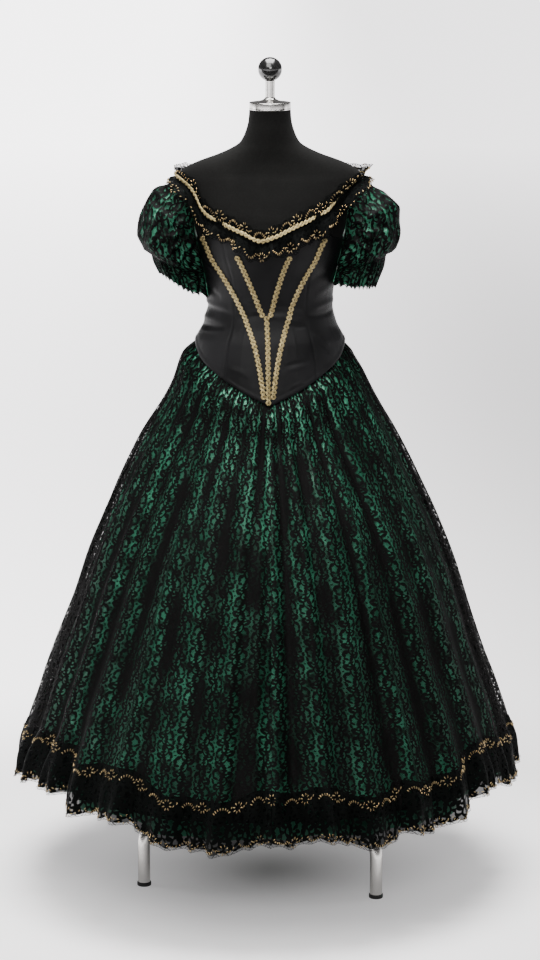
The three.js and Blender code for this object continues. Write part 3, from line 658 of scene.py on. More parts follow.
# The cloth's map for such a grid, from its flat width and depth.
def flatMap(columns, rows, width, depth, edgeUp=False):
    return lambda r, c: (c / columns * width, (r / rows if edgeUp else 1 - r / rows) * depth)


# Unit normals of a closed row's grid of points, away from the middle of each row.
def gridNormals(rows):
    normals = []
    for r, row in enumerate(rows):
        above, below = rows[max(r - 1, 0)], rows[min(r + 1, len(rows) - 1)]
        core = sum(row, Vector()) / len(row)
        line = []
        for c, point in enumerate(row):
            normal = (below[c] - above[c]).cross(row[(c + 1) % len(row)] - row[c - 1])
            normal.normalize()
            line.append(-normal if normal.dot(point - core) < 0 else normal)
        normals.append(line)
    return normals


# The inner side of a cloth wall, level through the cloth.
def shrunk(rows, wall):
    inner = []
    for row in rows:
        keeps = [1 - wall / math.hypot(p.x, p.y) for p in row]
        inner.append([Vector((p.x * keep, p.y * keep, p.z)) for p, keep in zip(row, keeps)])
    return inner


# Quads between neighbouring rings of points.
def ringFaces(count, sides):
    faces = []
    for r in range(count - 1):
        for c in range(sides):
            n = (c + 1) % sides
            faces.append([r * sides + c, r * sides + n, (r + 1) * sides + n, (r + 1) * sides + c])
    return faces


# Rings from the foot upwards, closed with a fan at either end.
def closedStack(name, rings, foot, crown, material, smoothAngle=40.0):
    sides = len(rings[0])
    points = [p for ring in rings for p in ring]
    low, high, last = len(points), len(points) + 1, len(points) - sides
    faces = ringFaces(len(rings), sides)
    for c in range(sides):
        n = (c + 1) % sides
        faces += [[low, n, c], [high, last + c, last + n]]
    return finishMesh(name, [*points, foot, crown], faces, None, material, smoothAngle)


def lathePiece(name, profile, sides, material, centre=Vector()):
    rings = [[polar(turn * c / sides, radius, z) + centre for c in range(sides)] for radius, z in profile[1:-1]]
    foot, crown = (polar(0.0, 0.0, z) + centre for _, z in (profile[0], profile[-1]))
    return closedStack(name, rings, foot, crown, material)


def settle(piece, slot, *nodes):
    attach(piece, "root")
    if nodes:
        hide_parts(*nodes)
    return piece


def keepNode(name, material):
    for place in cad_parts[name].material_slots:
        place.material = material


# The rounded edge of a lathe profile, between its side and its top or foot.
def roundedEdge(radius, z, cut, top):
    edge = []
    for lean in steps(0.0, math.pi / 2, 4):
        if top:
            edge.append((radius - cut + cut * math.cos(lean), z - cut + cut * math.sin(lean)))
        else:
            edge.append((radius - cut + cut * math.sin(lean), z + cut - cut * math.cos(lean)))
    return edge


# Dress form and stand.
form = {
    "columns": 144, "rowHeight": 5.0,
    "capWidth": 83.0, "capBase": 1585.3, "capHeight": 15.0, "capDome": 9.0, "capRound": (0.8, 1.4),
    "capGroove": ((2.5, 0.0), (3.0, 0.5), (3.5, 0.0)),  # up from the cap's foot, and how deep
    "postWidth": 19.5, "postTop": 1643.0, "postRound": 0.6, "ballWidth": 48.0,
    "tubeWidth": 25.4, "tubeSides": 32, "footSpread": 278.0, "legBearings": [51, 171, 291],
    "legRise": 75.0, "legBend": 65.0, "footHeight": 8.0, "footWidth": 29.0, "footRound": (1.2, 1.5),
    "hubFlat": 30.0, "gap": 0.3,
}

torsoFoot, torsoTop = figure[0][0], figure[-1][0]
torsoHeights = steps(torsoFoot, torsoTop, int((torsoTop - torsoFoot) / form["rowHeight"]))
torsoRings = aroundGrid(form["columns"], torsoHeights, lambda angle, z: polar(angle, figureRadius(angle, z), z))
torsoEnds = polar(0.0, 0.0, torsoFoot), polar(0.0, 0.0, torsoTop)
settle(closedStack("formTorso", torsoRings, *torsoEnds, blackJersey, 60.0), "black_jersey", "form_torso")

capRadius, capBase = form["capWidth"] / 2, form["capBase"]
postRadius = form["postWidth"] / 2
capRim, domeEdge = capBase + form["capHeight"], capRadius - 2.0
capProfile = [(0.0, capBase), *roundedEdge(capRadius, capBase, form["capRound"][0], False)]
capProfile += [(capRadius - deep, capBase + up) for up, deep in form["capGroove"]]
capProfile += roundedEdge(capRadius, capRim, form["capRound"][1], True)
for share in steps(0.08, 1.0, 12):
    lean = share * math.pi / 2
    domeRadius = domeEdge - (domeEdge - postRadius) * math.sin(lean)
    capProfile.append((domeRadius, capRim + form["capDome"] * (1 - math.cos(lean)) + 0.7))
capTop = capProfile[-1][1]
capProfile.append((0.0, capTop))
settle(lathePiece("neckCap", capProfile, 96, chrome), "chrome", "neck_cap")

postFoot, postTop, postRound = capTop + form["gap"], form["postTop"], form["postRound"]
postProfile = [
    (0.0, postFoot), (postRadius, postFoot), (postRadius, postTop - postRound), (postRadius - postRound, postTop),
    (0.0, postTop),
]
settle(lathePiece("neckPost", postProfile, 48, chrome), "chrome", "neck_post")

ballRadius = form["ballWidth"] / 2
seat = math.asin(form["postWidth"] / form["ballWidth"])
ballBase = postTop + form["gap"]
ballCentre = ballBase + ballRadius * math.cos(seat)
ballProfile = [(0.0, ballBase)]
ballProfile += [(ballRadius * math.sin(a), ballCentre - ballRadius * math.cos(a)) for a in steps(seat, math.pi, 34)]
settle(lathePiece("ballKnob", ballProfile, 64, blackKnob), "black_knob", "ball_knob")


def makeLeg(number, bearing):
    reach, bend, rise, gap = form["footSpread"], form["legBend"], form["legRise"], form["gap"]
    base = form["footHeight"] + gap
    run = reach - bend - form["hubFlat"] - gap
    # distance out, height, and how far the tube has turned from upright
    course = [(reach, base, 0.0), (reach, base + rise / 2, 0.0)]
    for a in steps(0.0, math.pi / 2, 24):
        course.append((reach - bend * (1 - math.cos(a)), base + rise + bend * math.sin(a), a))
    course += [(reach - bend - run * share, base + rise + bend, math.pi / 2) for share in (0.5, 1.0)]
    sides, radius = form["tubeSides"], form["tubeWidth"] / 2
    heading = math.radians(bearing)
    out = polar(heading, 1.0, 0.0)
    across = Vector((math.cos(heading), math.sin(heading), 0.0))
    points = []
    for away, z, lean in course:
        normal = out * math.cos(lean) + Vector((0.0, 0.0, math.sin(lean)))
        middle = out * away + Vector((0.0, 0.0, z))
        for c in range(sides):
            angle = turn * c / sides
            points.append(middle + normal * radius * math.cos(angle) + across * radius * math.sin(angle))
    faces = ringFaces(len(course), sides)
    faces += [list(range(sides))[::-1], list(range(len(points) - sides, len(points)))]
    leg = finishMesh(f"standLeg{number}", points, faces, None, chrome, 40.0)
    settle(leg, "chrome", f"leg_{number}")
    footRadius, footHeight = form["footWidth"] / 2, form["footHeight"]
    footProfile = [(0.0, 0.0), *roundedEdge(footRadius, 0.0, form["footRound"][0], False)]
    footProfile += [*roundedEdge(footRadius, footHeight, form["footRound"][1], True), (0.0, footHeight)]
    foot = lathePiece(f"standFoot{number}", footProfile, 40, blackRubber, out * reach)
    settle(foot, "black_rubber", f"foot_{number}")


for number, bearing in enumerate(form["legBearings"], 1):
    makeLeg(number, bearing)
keepNode("stand_pole", chrome)
keepNode("stand_hub", chrome)
print("dress form and stand made")

# Bodice. A crease runs from one place to another on the cloth: degrees round from the front and height;
# lift above or below the cloth's face, half width, and bow sideways.
bodice = {
    "wall": 1.1,
    "seamGap": 0.3,
    "princessSeam": 44,
    "sideSeam": 100,
    "seamDip": 0.35,
    "seamPull": 3.2,
    "puckerAt": 5.5, "pucker": 0.22,  # the cloth stands up a little beside a seam
    "perDegree": 2.2,  # millimetres round the body
    "creasePerDegree": 2.3,
    "creaseDepth": 1.5,
    "meanRadius": 110,
    "grain": 0.13,  # metres of cloth to a radian
    "boneEnd": (1345, 60),  # bones die out below this height, over this length
    "edgeRoll": 0.5, "edgeTurn": 0.6, "edgeStitch": 0.3,  # relief of the turned lower edge
    "boneLines": [
        (-29, 0.2), (27, 0.25), (-70, 0.2), (70, 0.2), (-122, 0.25), (122, 0.25), (-158, 0.25), (158, 0.25),
    ],
    "creases": [
        (-42, 1176, 30, 1190, -1.8, 6.0, 5), (-30, 1196, 34, 1183, 1.6, 7.0, -4),
        (4, 1203, 42, 1196, -1.3, 5.0, 3), (-43, 1212, -12, 1206, 1.2, 5.0, 2),
        (44, 1168, 18, 1176, 1.5, 4.0, -2), (43, 1161, 22, 1166, -1.6, 3.5, 2),
        (45, 1190, 96, 1206, 1.7, 6.0, 5), (45, 1181, 92, 1190, -1.7, 5.0, -3),
        (-96, 1194, -45, 1182, -2.0, 6.5, 4), (-98, 1212, -52, 1197, 1.9, 7.0, -5),
        (-99, 1236, -60, 1216, -1.6, 7.0, 6), (-92, 1262, -62, 1234, 1.7, 8.0, -6),
        (-88, 1296, -58, 1258, -1.4, 7.0, 7), (-98, 1172, -56, 1170, 1.8, 6.0, 3),
        (-94, 1158, -50, 1160, -1.8, 5.5, -3), (-88, 1146, -48, 1150, 1.2, 5.0, 2),
        (46, 1145, 62, 1122, 1.0, 4.0, 2), (47, 1128, 58, 1106, -1.0, 3.5, 1), (54, 1222, 92, 1240, 1.4, 8.0, 5),
        (50, 1262, 84, 1284, -1.2, 8.0, -5), (13, 1085, 40, 1094, -0.9, 3.0, 2), (17, 1078, 36, 1084, 0.8, 3.0, 1),
        (16, 1042, 38, 1056, 0.7, 3.5, 1), (-43, 1080, -20, 1068, 0.7, 6.0, 2),
        (102, 1188, 150, 1178, -1.9, 6.0, 4), (104, 1206, 172, 1196, 1.7, 7.0, -4),
        (108, 1170, 160, 1162, 1.4, 5.0, 2), (102, 1232, 140, 1214, -1.3, 8.0, 5),
        (258, 1186, 206, 1176, -1.8, 6.0, 4), (256, 1204, 190, 1192, 1.8, 7.5, -3),
        (252, 1166, 212, 1158, 1.3, 5.0, 2), (256, 1240, 222, 1218, -1.4, 8.0, 5),
        (190, 1292, 168, 1240, 1.0, 9.0, 6),
    ],
}


creaseEnd = 14  # degrees past its ends where a crease is still felt


def creaseLift(angle, z):
    degrees = math.degrees(angle)
    if degrees < -bodice["sideSeam"] - 1:
        degrees += 360  # the back's creases count on past 180
    total = 0.0
    for at, fromZ, toAt, toZ, lift, width, bow in bodice["creases"]:
        for here in (degrees, degrees - 360):
            if not min(at, toAt) - creaseEnd < here < max(at, toAt) + creaseEnd:
                continue
            x, length = ((place - at) * bodice["creasePerDegree"] for place in (here, toAt))
            up, rise = z - fromZ, toZ - fromZ
            whole = math.hypot(length, rise)
            along = (x * length + up * rise) / whole / whole
            arch = math.sin(math.pi * max(0.0, min(1.0, along)))
            off = (up * length - x * rise) / whole - bow * arch
            total += lift * max(0.0, arch) ** 0.7 * math.exp(-((off / width) ** 2))
    return total


def bodiceOut(angle, z, seams):
    degrees = math.degrees(angle)
    across = degrees * bodice["perDegree"]
    out = bodice["creaseDepth"] * creaseLift(angle, z)
    for seamAt in seams:
        off = abs(degrees - seamAt) * bodice["perDegree"]
        out -= bodice["seamDip"] * bump(off, 0.0, bodice["seamPull"])
        out += bodice["pucker"] * bump(off, bodice["puckerAt"], 3.5) * (1 + 0.7 * math.sin(z * 0.19 + seamAt))
        out += 0.5 * bump(off, 0.0, 9.0) * wrinkle(seamAt, 0.0, z, 11.0)
    wrapped = degrees - 360 if degrees > 180 else degrees
    boneTop, boneFade = bodice["boneEnd"]
    boneShare = min(1.0, max(0.0, (boneTop - z) / boneFade))
    for boneAt, lift in bodice["boneLines"]:
        out += lift * bump((wrapped - boneAt) * bodice["perDegree"], 0.0, 3.4) * boneShare
    out += 0.5 * wrinkle(across, 31.0, z, 42.0) + 0.2 * wrinkle(across, 77.0, z, 15.0)
    aboveEdge = z - edgeAt(angle)
    out += bodice["edgeRoll"] * bump(aboveEdge, 5.0, 4.0) - bodice["edgeTurn"] * bump(aboveEdge, 0.0, 2.2)
    return out - bodice["edgeStitch"] * bump(aboveEdge, 12.0, 3.5)


def bodicePanel(name, node, fromAt, toAt, columns, rows):
    inset = bodice["seamGap"] / 2 / bodice["meanRadius"]
    angles = steps(math.radians(fromAt) + inset, math.radians(toAt) - inset, columns)
    outer, inner = [], []
    for share in steps(0.0, 1.0, rows):
        outer.append([])
        inner.append([])
        for angle in angles:
            z = topAt(angle) + (edgeAt(angle) - topAt(angle)) * share
            radius = bodiceRadius(angle, z) + bodiceOut(angle, z, (fromAt, toAt))
            outer[-1].append(polar(angle, radius, z))
            inner[-1].append(polar(angle, radius - bodice["wall"], z))

    def uvAt(r, c):
        return (angles[c] * bodice["grain"], outer[r][c].z * mm)

    return settle(clothPiece(name, outer, blackSatin, uvAt, inner=inner), "black_satin", node)


princess, sideAt = bodice["princessSeam"], bodice["sideSeam"]
frontCut, sideCut, backCut = (0.22, 0.33, 0.056), (0.15, 0.26, 0.033), (0.19, 0.28, 0.042)  # width, length, area
bodicePanels = {}
for name, node, fromAt, toAt, columns, rows, cut in (
    ("Front", "front", -princess, princess, 104, 96, frontCut),
    ("SideLeft", "side_left", princess, sideAt, 58, 84, sideCut),
    ("SideRight", "side_right", -sideAt, -princess, 58, 84, sideCut),
    ("BackLeft", "back_left", sideAt, 180, 72, 80, backCut),
    ("BackRight", "back_right", 180, 360 - sideAt, 72, 80, backCut),
):
    panel = bodicePanels[name] = bodicePanel("bodice" + name, "bodice_" + node, fromAt, toAt, columns, rows)
print("bodice made")

# Gold gimp braid.
gimp = {
    "swing": 3.25,  # how far a strand's middle swings to either side
    "strands": 2,
    "cords": 4,
    "cordRadius": 0.68,
    "cordSpacing": 1.65,  # times the cord's radius
    "cordSides": 6,
    "repeat": 19.0,  # one whole turn of a strand
    "weaveDepth": 0.7,
    "edgeDrop": 0.12,  # the outer cords lie lower
    "step": 1.55,  # between points along a cord
    "lift": 1.6,  # cloth face to the plait's middle
}
# height and place across; braidLean shifts both sides
braidLean = [(1026, -3), (1120, -4), (1310, -13)]
outerBraid = [
    (1338, 121), (1320, 113), (1296, 103), (1256, 79), (1212, 56), (1164, 38), (1124, 26), (1083, 17.5),
    (1050, 12.5), (1022, 9.0),
]
innerBraid = [(1306, 52), (1292, 46), (1270, 37), (1228, 22), (1200, 13), (1182, 7)]
centreBraid = [(1184, 0), (1120, 0), (1060, 0), (1010, 0)]


# Opens a Geometry Nodes tree with named sizes and gives its inputs.
def openGrowth(name, sizes):
    tree = inHand["tree"] = bpy.data.node_groups.new(name, "GeometryNodeTree")
    tree.interface.new_socket("Geometry", in_out="INPUT", socket_type="NodeSocketGeometry")
    for size, value in sizes.items():
        kind = "NodeSocketInt" if isinstance(value, int) else "NodeSocketFloat"
        tree.interface.new_socket(size, in_out="INPUT", socket_type=kind).default_value = value
    tree.interface.new_socket("Geometry", in_out="OUTPUT", socket_type="NodeSocketGeometry")
    return addNode("NodeGroupInput").outputs


def closeGrowth(shape, material):
    whole = addNode("GeometryNodeRealizeInstances", {"Geometry": shape}).outputs[0]
    painted = addNode("GeometryNodeSetMaterial", {"Geometry": whole, "Material": material}).outputs[0]
    addNode("NodeGroupOutput", {"Geometry": painted})
    return inHand["tree"]


# Runs a tree on a mesh of points or edges and returns the plain result.
def grow(name, points, edges, tree, sizes, aims=None):
    mesh = bpy.data.meshes.new(name + "Base")
    mesh.from_pydata([tuple(p * mm) for p in points], edges, [])
    if aims:
        layer = mesh.attributes.new("aim", "FLOAT_VECTOR", "POINT")
        layer.data.foreach_set("vector", [part for aim in aims for part in aim])
    base = addPiece(name + "Base", mesh)
    modifier = base.modifiers.new("grow", "NODES")
    modifier.node_group = tree
    sockets = {item.name: item.identifier for item in tree.interface.items_tree if item.in_out == "INPUT"}
    for size, value in sizes.items():
        modifier[sockets[size]] = value
    base.update_tag()
    graph = bpy.context.evaluated_depsgraph_get()
    result = bpy.data.meshes.new_from_object(base.evaluated_get(graph), depsgraph=graph)
    base.modifiers.clear()
    bpy.data.objects.remove(base)
    result.name = name
    result.shade_smooth()
    return addPiece(name, result)


gimpSizes = {"Cord Radius": gimp["cordRadius"] * mm, "Cord Sides": gimp["cordSides"]}
sizesIn = openGrowth("gimpCords", gimpSizes)
cordLine = addNode("GeometryNodeMeshToCurve", {"Mesh": sizesIn["Geometry"]}).outputs[0]
cordRound = addNode("GeometryNodeCurvePrimitiveCircle", {
    "Radius": sizesIn["Cord Radius"], "Resolution": sizesIn["Cord Sides"],
}).outputs[0]
cords = addNode("GeometryNodeCurveToMesh", {"Curve": cordLine, "Profile Curve": cordRound, "Fill Caps": True})
gimpNodes = closeGrowth(cords.outputs[0], goldThread)


# Shares of a course at even steps along it, with the length up to each, and the whole length.
def evenShares(pointAt, count, closed):
    raw = [pointAt(i / count, 0.0, 0.0) for i in range(count + 1)]
    lengths = [0.0]
    for a, b in zip(raw, raw[1:]):
        lengths.append(lengths[-1] + (b - a).length)
    whole = lengths[-1]
    pieces = max(4, round(whole / gimp["step"]))
    shares, k = [], 0
    for i in range(pieces if closed else pieces + 1):
        wanted = whole * i / pieces
        while k < count - 1 and lengths[k + 1] < wanted:
            k += 1
        span = max(1e-6, lengths[k + 1] - lengths[k])
        shares.append(((k + (wanted - lengths[k]) / span) / count, wanted))
    return shares, whole


# pointAt(share, side, height) gives a place on the plait's course.
def plaitPiece(name, node, pointAt, closed=False, count=400):
    shares, whole = evenShares(pointAt, count, closed)
    turns = max(1, round(whole / gimp["repeat"]))
    points, edges = [], []
    for strand in range(gimp["strands"]):
        for cord in steps(-1.5, 1.5, gimp["cords"] - 1):
            first = len(points)
            for share, along in shares:
                phase = turn * (turns * along / whole + strand / gimp["strands"])
                side = gimp["swing"] * math.sin(phase) + cord * gimp["cordRadius"] * gimp["cordSpacing"]
                height = gimp["weaveDepth"] * math.cos(phase) - gimp["edgeDrop"] * abs(cord)
                points.append(pointAt(share, side, height))
            last = len(points) - 1
            edges += [(i, i + 1) for i in range(first, last)]
            if closed:
                edges.append((last, first))
    return settle(grow(name, points, edges, gimpNodes, gimpSizes), "gold_braid", node)


# Which way round the bodice a place lies that is x across and z up.
def bearingAt(x, z):
    low, high = -math.pi / 2, math.pi / 2
    for _ in range(26):
        middle = (low + high) / 2
        if bodiceRadius(middle, z) * math.sin(middle) < x:
            low = middle
        else:
            high = middle
    return low


def braidPoint(course, mirror):
    top, low = course[0][0], course[-1][0]
    rising = course[::-1]

    def middleAt(z):
        return mirror * readTable(rising, z) + readTable(braidLean, z)

    def pointAt(share, side, height):
        z = top + (low - top) * share
        lean = (middleAt(z + 1) - middleAt(z - 1)) / 2
        whole = math.hypot(1, lean)
        x = middleAt(z) + side / whole
        z -= side * lean / whole
        angle = bearingAt(x, z)
        out = bodiceOut(angle, z, (-princess, princess)) + gimp["lift"] + height
        return polar(angle, bodiceRadius(angle, z) + out, z)

    return pointAt


for name, course, mirror in (
    ("OuterLeft", outerBraid, 1), ("OuterRight", outerBraid, -1), ("InnerLeft", innerBraid, 1),
    ("InnerRight", innerBraid, -1), ("Centre", centreBraid, 1),
):
    node = "braid" + "".join("_" + letter.lower() if letter.isupper() else letter for letter in name)
    plaitPiece("braid" + name, node, braidPoint(course, mirror))
print("braids made")

# Sleeves, ring by ring: outer end x and z, inner end x and z, half depth, depth of the gathers
sleeveRings = {
    "left": [
        (188, 1447, 154, 1338, 48, 0), (206, 1437, 150, 1318, 66, 2.5), (232, 1417, 146, 1300, 78, 4),
        (256, 1388, 142, 1286, 83, 4.5), (260, 1340, 140, 1276, 78, 4.5), (250, 1308, 138, 1268, 66, 3),
        (233, 1297, 137, 1262, 54, 1.5), (226, 1271, 135, 1252, 61, 4), (209, 1233, 134, 1240, 66, 5.5),
    ],
    "right": [
        (188, 1447, 154, 1338, 48, 0), (206, 1438, 150, 1318, 66, 2.5), (231, 1422, 145, 1298, 78, 4),
        (250, 1390, 141, 1283, 83, 4.5), (262, 1338, 139, 1270, 78, 4.5), (253, 1309, 137, 1260, 66, 3),
        (238, 1298, 135, 1250, 54, 1.5), (232, 1283, 133, 1232, 60, 4), (220, 1262, 131, 1212, 64, 5.5),
    ],
}
sleeve = {
    "columns": 200, "rows": 92, "bodyGap": 0.9, "cling": 44.0, "armhole": 0.1, "folds": 15,
    "satinOff": -0.8, "laceOff": 1.4,  # off the puff's face
    "satinEnd": 0.97,  # share of the lace's length
    "casing": 0.75,  # share of the length where the puff ends and the frill begins
    "clothWidth": 0.44, "clothLength": 0.24,
    "foldLift": 0.45, "crinkle": 2.4, "billow": 5.0,
    "frillRipple": 3.0, "frillWave": 2.5,
    # folds fan out from the front and back of the armhole's foot
    "fanX": 146, "fanZ": 1350, "fanFolds": 13, "fanDepth": 3.4, "fanNear": (12, 50), "fanFar": (88, 128),
}


def ease(value, low, high):
    t = max(0.0, min(1.0, (value - low) / (high - low)))
    return t * t * (3 - 2 * t)


def fanLift(x, z, seed):
    away = math.hypot(x - sleeve["fanX"], z - sleeve["fanZ"])
    lean = math.atan2(z - sleeve["fanZ"], x - sleeve["fanX"])
    fold = math.cos(sleeve["fanFolds"] * lean + 1.3 * math.sin(2.3 * lean + seed) + away * 0.012)
    fold += 0.45 * math.cos(2.1 * sleeve["fanFolds"] * lean + seed + 0.03 * away)
    return sleeve["fanDepth"] * fold * ease(away, *sleeve["fanNear"]) * (1 - ease(away, *sleeve["fanFar"]))


# Keeps a place off the bodice, and draws what is close to it in against it.
def clearOfBody(point, gap, free):
    angle = math.atan2(point.x, -point.y)
    least = bodiceRadius(angle, point.z) + gap
    radius = math.hypot(point.x, point.y)
    off = max(0.0, radius - least)
    return polar(angle, least + off * min(free, ease(off, 0.0, sleeve["cling"])), point.z)


# A sleeve's face: share 0 at the armhole, 1 at the frill's edge; columns run round the arm.
def sleevePoint(side, share, angle, off):
    rings = [(i / 8, *ring) for i, ring in enumerate(sleeveRings[side])]
    outX, outZ, inX, inZ, deep, gather = (readTable(rings, share, column) for column in range(1, 7))
    seed = 3.0 if side == "left" else 40.0
    fold = math.cos(sleeve["folds"] * angle + 1.1 * math.sin(2 * angle + seed) + 0.6 * math.sin(5 * angle))
    fold += 0.35 * math.cos(2.2 * sleeve["folds"] * angle + seed)
    strength = 0.8 + 0.3 * math.sin(3 * angle + 1) + 0.2 * math.sin(5 * angle)
    lift = gather * strength * fold * sleeve["foldLift"]
    middleX, middleZ = (outX + inX) / 2, (outZ + inZ) / 2
    casing = sleeve["casing"]
    edge = max(0.0, (share - casing) / (1 - casing))
    if share < casing:
        puff = math.sin(math.pi * share / casing) ** 0.6 if share > 0 else 0.0
        x = middleX + (outX - inX) / 2 * math.cos(angle)
        z = middleZ + (outZ - inZ) / 2 * math.cos(angle)
        lift += puff * fanLift(x, z, seed) * abs(math.sin(angle)) ** 0.5
        ridge = 1 - abs(wrinkle(math.cos(angle) * 60, math.sin(angle) * 60 + seed, share * 150, 19.0)) * 3.4
        lift += puff * (sleeve["crinkle"] * ridge - 1.0)
        lift += puff * sleeve["billow"] * wrinkle(math.cos(angle) * 55, math.sin(angle) * 55, share * 210 + seed, 34.0)
    lift += edge * sleeve["frillRipple"] * math.sin(26 * angle + 2.0 * math.sin(3 * angle + seed))
    along = Vector(((outX - inX) / 2, 0.0, (outZ - inZ) / 2))
    point = Vector((middleX, 0.0, middleZ))
    point += along * math.cos(angle) * (1 + (lift + off) / max(along.length, 30.0))
    point.y = -deep * math.sin(angle) * (1 + (lift + off) / deep)
    point.z += sleeve["frillWave"] * math.sin(30 * angle) * edge
    point = clearOfBody(point, sleeve["bodyGap"] + max(0.0, off), ease(share, 0.0, sleeve["armhole"]))
    if side == "right":
        point.x = -point.x
    return point


def sleevePiece(name, side, off, material, upTo):
    columns, rows = sleeve["columns"], int(sleeve["rows"] * upTo)
    grid = aroundGrid(columns, steps(0.0, upTo, rows), lambda angle, share: sleevePoint(side, share, angle, off))
    uvAt = flatMap(columns, rows, sleeve["clothWidth"], sleeve["clothLength"] * upTo)
    piece = clothPiece(name, grid, material, uvAt, around=True, turned=side == "left")
    return settle(piece, "lace_on_satin")


sleeveCovers = {}
for side in ("left", "right"):
    title = side.capitalize()
    lining = sleevePiece(f"sleeveSatin{title}", side, sleeve["satinOff"], greenSatin, sleeve["satinEnd"])
    cover = sleevePiece(f"sleeveLace{title}", side, sleeve["laceOff"], sleeveLace, 1.0)
    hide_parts(f"sleeve_{side}")
    cut = (sleeve["clothWidth"], sleeve["clothLength"])
    sleeveCovers[side] = cover
print("sleeves made")

# Beads sewn to the galloon.
beads = {
    "repeat": 82.0,
    "arcRadius": 19.0, "arcBeads": 8, "arcSpread": 112.0, "arcAt": 20.0, "arcLevel": 0.8,
    "ringRadius": 8.6, "ringBeads": 8, "ringAt": 54.0,
    "long": 2.6, "thick": 0.9,  # half length and radius of a bead
    "segments": 6, "rings": 4, "seed": 11, "sizes": (0.86, 1.14),
    "strays": [(40.0, 2.5), (68.0, -2.0), (74.0, 2.0)],  # single beads, across and up
    "rise": 1.3,  # bead's middle above the lace
}


beadSizes = {"Bead Length": beads["long"] * mm, "Bead Radius": beads["thick"] * mm, "Seed": beads["seed"]}
sizesIn = openGrowth("sewnBeads", beadSizes)
thick = sizesIn["Bead Radius"]
bead = addNode("GeometryNodeMeshUVSphere", {"Segments": beads["segments"], "Rings": beads["rings"], "Radius": 1.0})
aim = addNode("GeometryNodeInputNamedAttribute", {"Name": "aim"}, data_type="FLOAT_VECTOR").outputs[0]
pointing = addNode("FunctionNodeAlignRotationToVector", {"Vector": aim}, axis="Z").outputs[0]
size = addNode("ShaderNodeCombineXYZ", {0: thick, 1: thick, 2: sizesIn["Bead Length"]}).outputs[0]
leastSize, mostSize = beads["sizes"]
vary = addNode("FunctionNodeRandomValue", {2: leastSize, 3: mostSize, "Seed": sizesIn["Seed"]}, data_type="FLOAT")
scaled = addNode("ShaderNodeVectorMath", {0: size, "Scale": vary.outputs[1]}, operation="SCALE").outputs[0]
sown = addNode("GeometryNodeInstanceOnPoints", {
    "Points": sizesIn["Geometry"], "Instance": bead.outputs["Mesh"], "Rotation": pointing, "Scale": scaled,
})
beadNodes = closeGrowth(sown.outputs[0], beadMetal)


# Places of the beads of one repeat: across, up, and which way each bead lies.
def beadMotif(archUp):
    places = []
    sign = 1 if archUp else -1
    reach = beads["arcRadius"]
    for share in steps(-0.5, 0.5, beads["arcBeads"] - 1):
        lean = share * math.radians(beads["arcSpread"])
        up = sign * reach * (math.cos(lean) - beads["arcLevel"])
        places.append((beads["arcAt"] + reach * math.sin(lean), up, math.sin(lean), sign * math.cos(lean)))
    reach = beads["ringRadius"]
    for i in range(beads["ringBeads"]):
        lean = turn * (i + 0.3) / beads["ringBeads"]
        side, up = math.sin(lean), math.cos(lean)
        places.append((beads["ringAt"] + reach * side, reach * up, side, up))
    return places + [(across, up, 0.6, 1.0) for across, up in beads["strays"]]


# Places and aims of a row of beads.
# surfaceAt(across, up, off) gives a place on the lace, across and up in millimetres of cloth.
def beadRow(length, surfaceAt, archUp, middleUp, start=0.0):
    repeats = max(1, round(length / beads["repeat"]))
    stretch = length / (repeats * beads["repeat"])
    row = []
    for k in range(repeats):
        for across, up, aimAcross, aimUp in beadMotif(archUp):
            at = (k * beads["repeat"] + across) * stretch + start
            here = surfaceAt(at, middleUp + up, beads["rise"])
            aim = surfaceAt(at + aimAcross, middleUp + up + aimUp, beads["rise"]) - here
            aim.normalize()
            row.append((here, aim))
    return row


def beadPiece(name, row):
    places, aims = zip(*row)
    return settle(grow(name, places, [], beadNodes, beadSizes, aims), "gold_braid")


# Neck frill, neck braid and bertha.
neck = {
    "standOff": 5.9, "braidHalf": 6.0, "frillRise": 22.0, "shoulderRise": 15.0,
    "frillColumns": 900, "frillRows": 14, "berthaColumns": 900, "berthaRows": 30,
    "clothWidth": 1.25,  # gathered length of the galloon round the neck
    "frillDepth": 0.028, "berthaDepth": 0.042,
    "frillLean": (11, 5),  # the frill leans out, and more on the wearer's left
    "frillLoose": 0.35,  # share of the frill that lies still under the braid
    "braidOff": 3.0, "braidSquash": 0.8,
    "seamDrop": 0.6,  # from the braid's lower edge to the bertha's top
    "waves": 14, "frontReach": 120,  # the bertha clears the sleeves beyond this far across
    "sleeveGap": 6.5,
}
berthaDrop = [
    (-180, 36), (-90, 38), (-60, 36), (-38, 28), (-26, 32), (-14, 39), (0, 31), (15, 41), (25, 38), (45, 41),
    (60, 28), (70, 26), (90, 38), (180, 36),
]
# share of the drop, how far out, drop and out over a shoulder, depth of the waves
berthaFall = [(0, 0, 0, 0, 0), (0.5, 8, 3, 14, 3.5), (1, 12, 10, 24, 7)]


def frillPoint(angle, share, out=0.0, wave=0.0):
    rise = neck["frillRise"] + (neck["shoulderRise"] - neck["frillRise"]) * shoulder(angle)
    z = neckAt(angle) - neck["braidHalf"] + (neck["braidHalf"] + rise) * share
    lying = figureRadius(angle, z) + neck["standOff"]
    atNeck = figureRadius(angle, neckAt(angle)) + neck["standOff"]
    lean, moreLean = neck["frillLean"]
    standing = max(atNeck, lying) + (lean + moreLean * math.sin(angle)) * share
    radius = lying + (standing - lying) * shoulder(angle)
    return polar(angle, max(radius, figureRadius(angle, z) + 3) + out + wave, z)


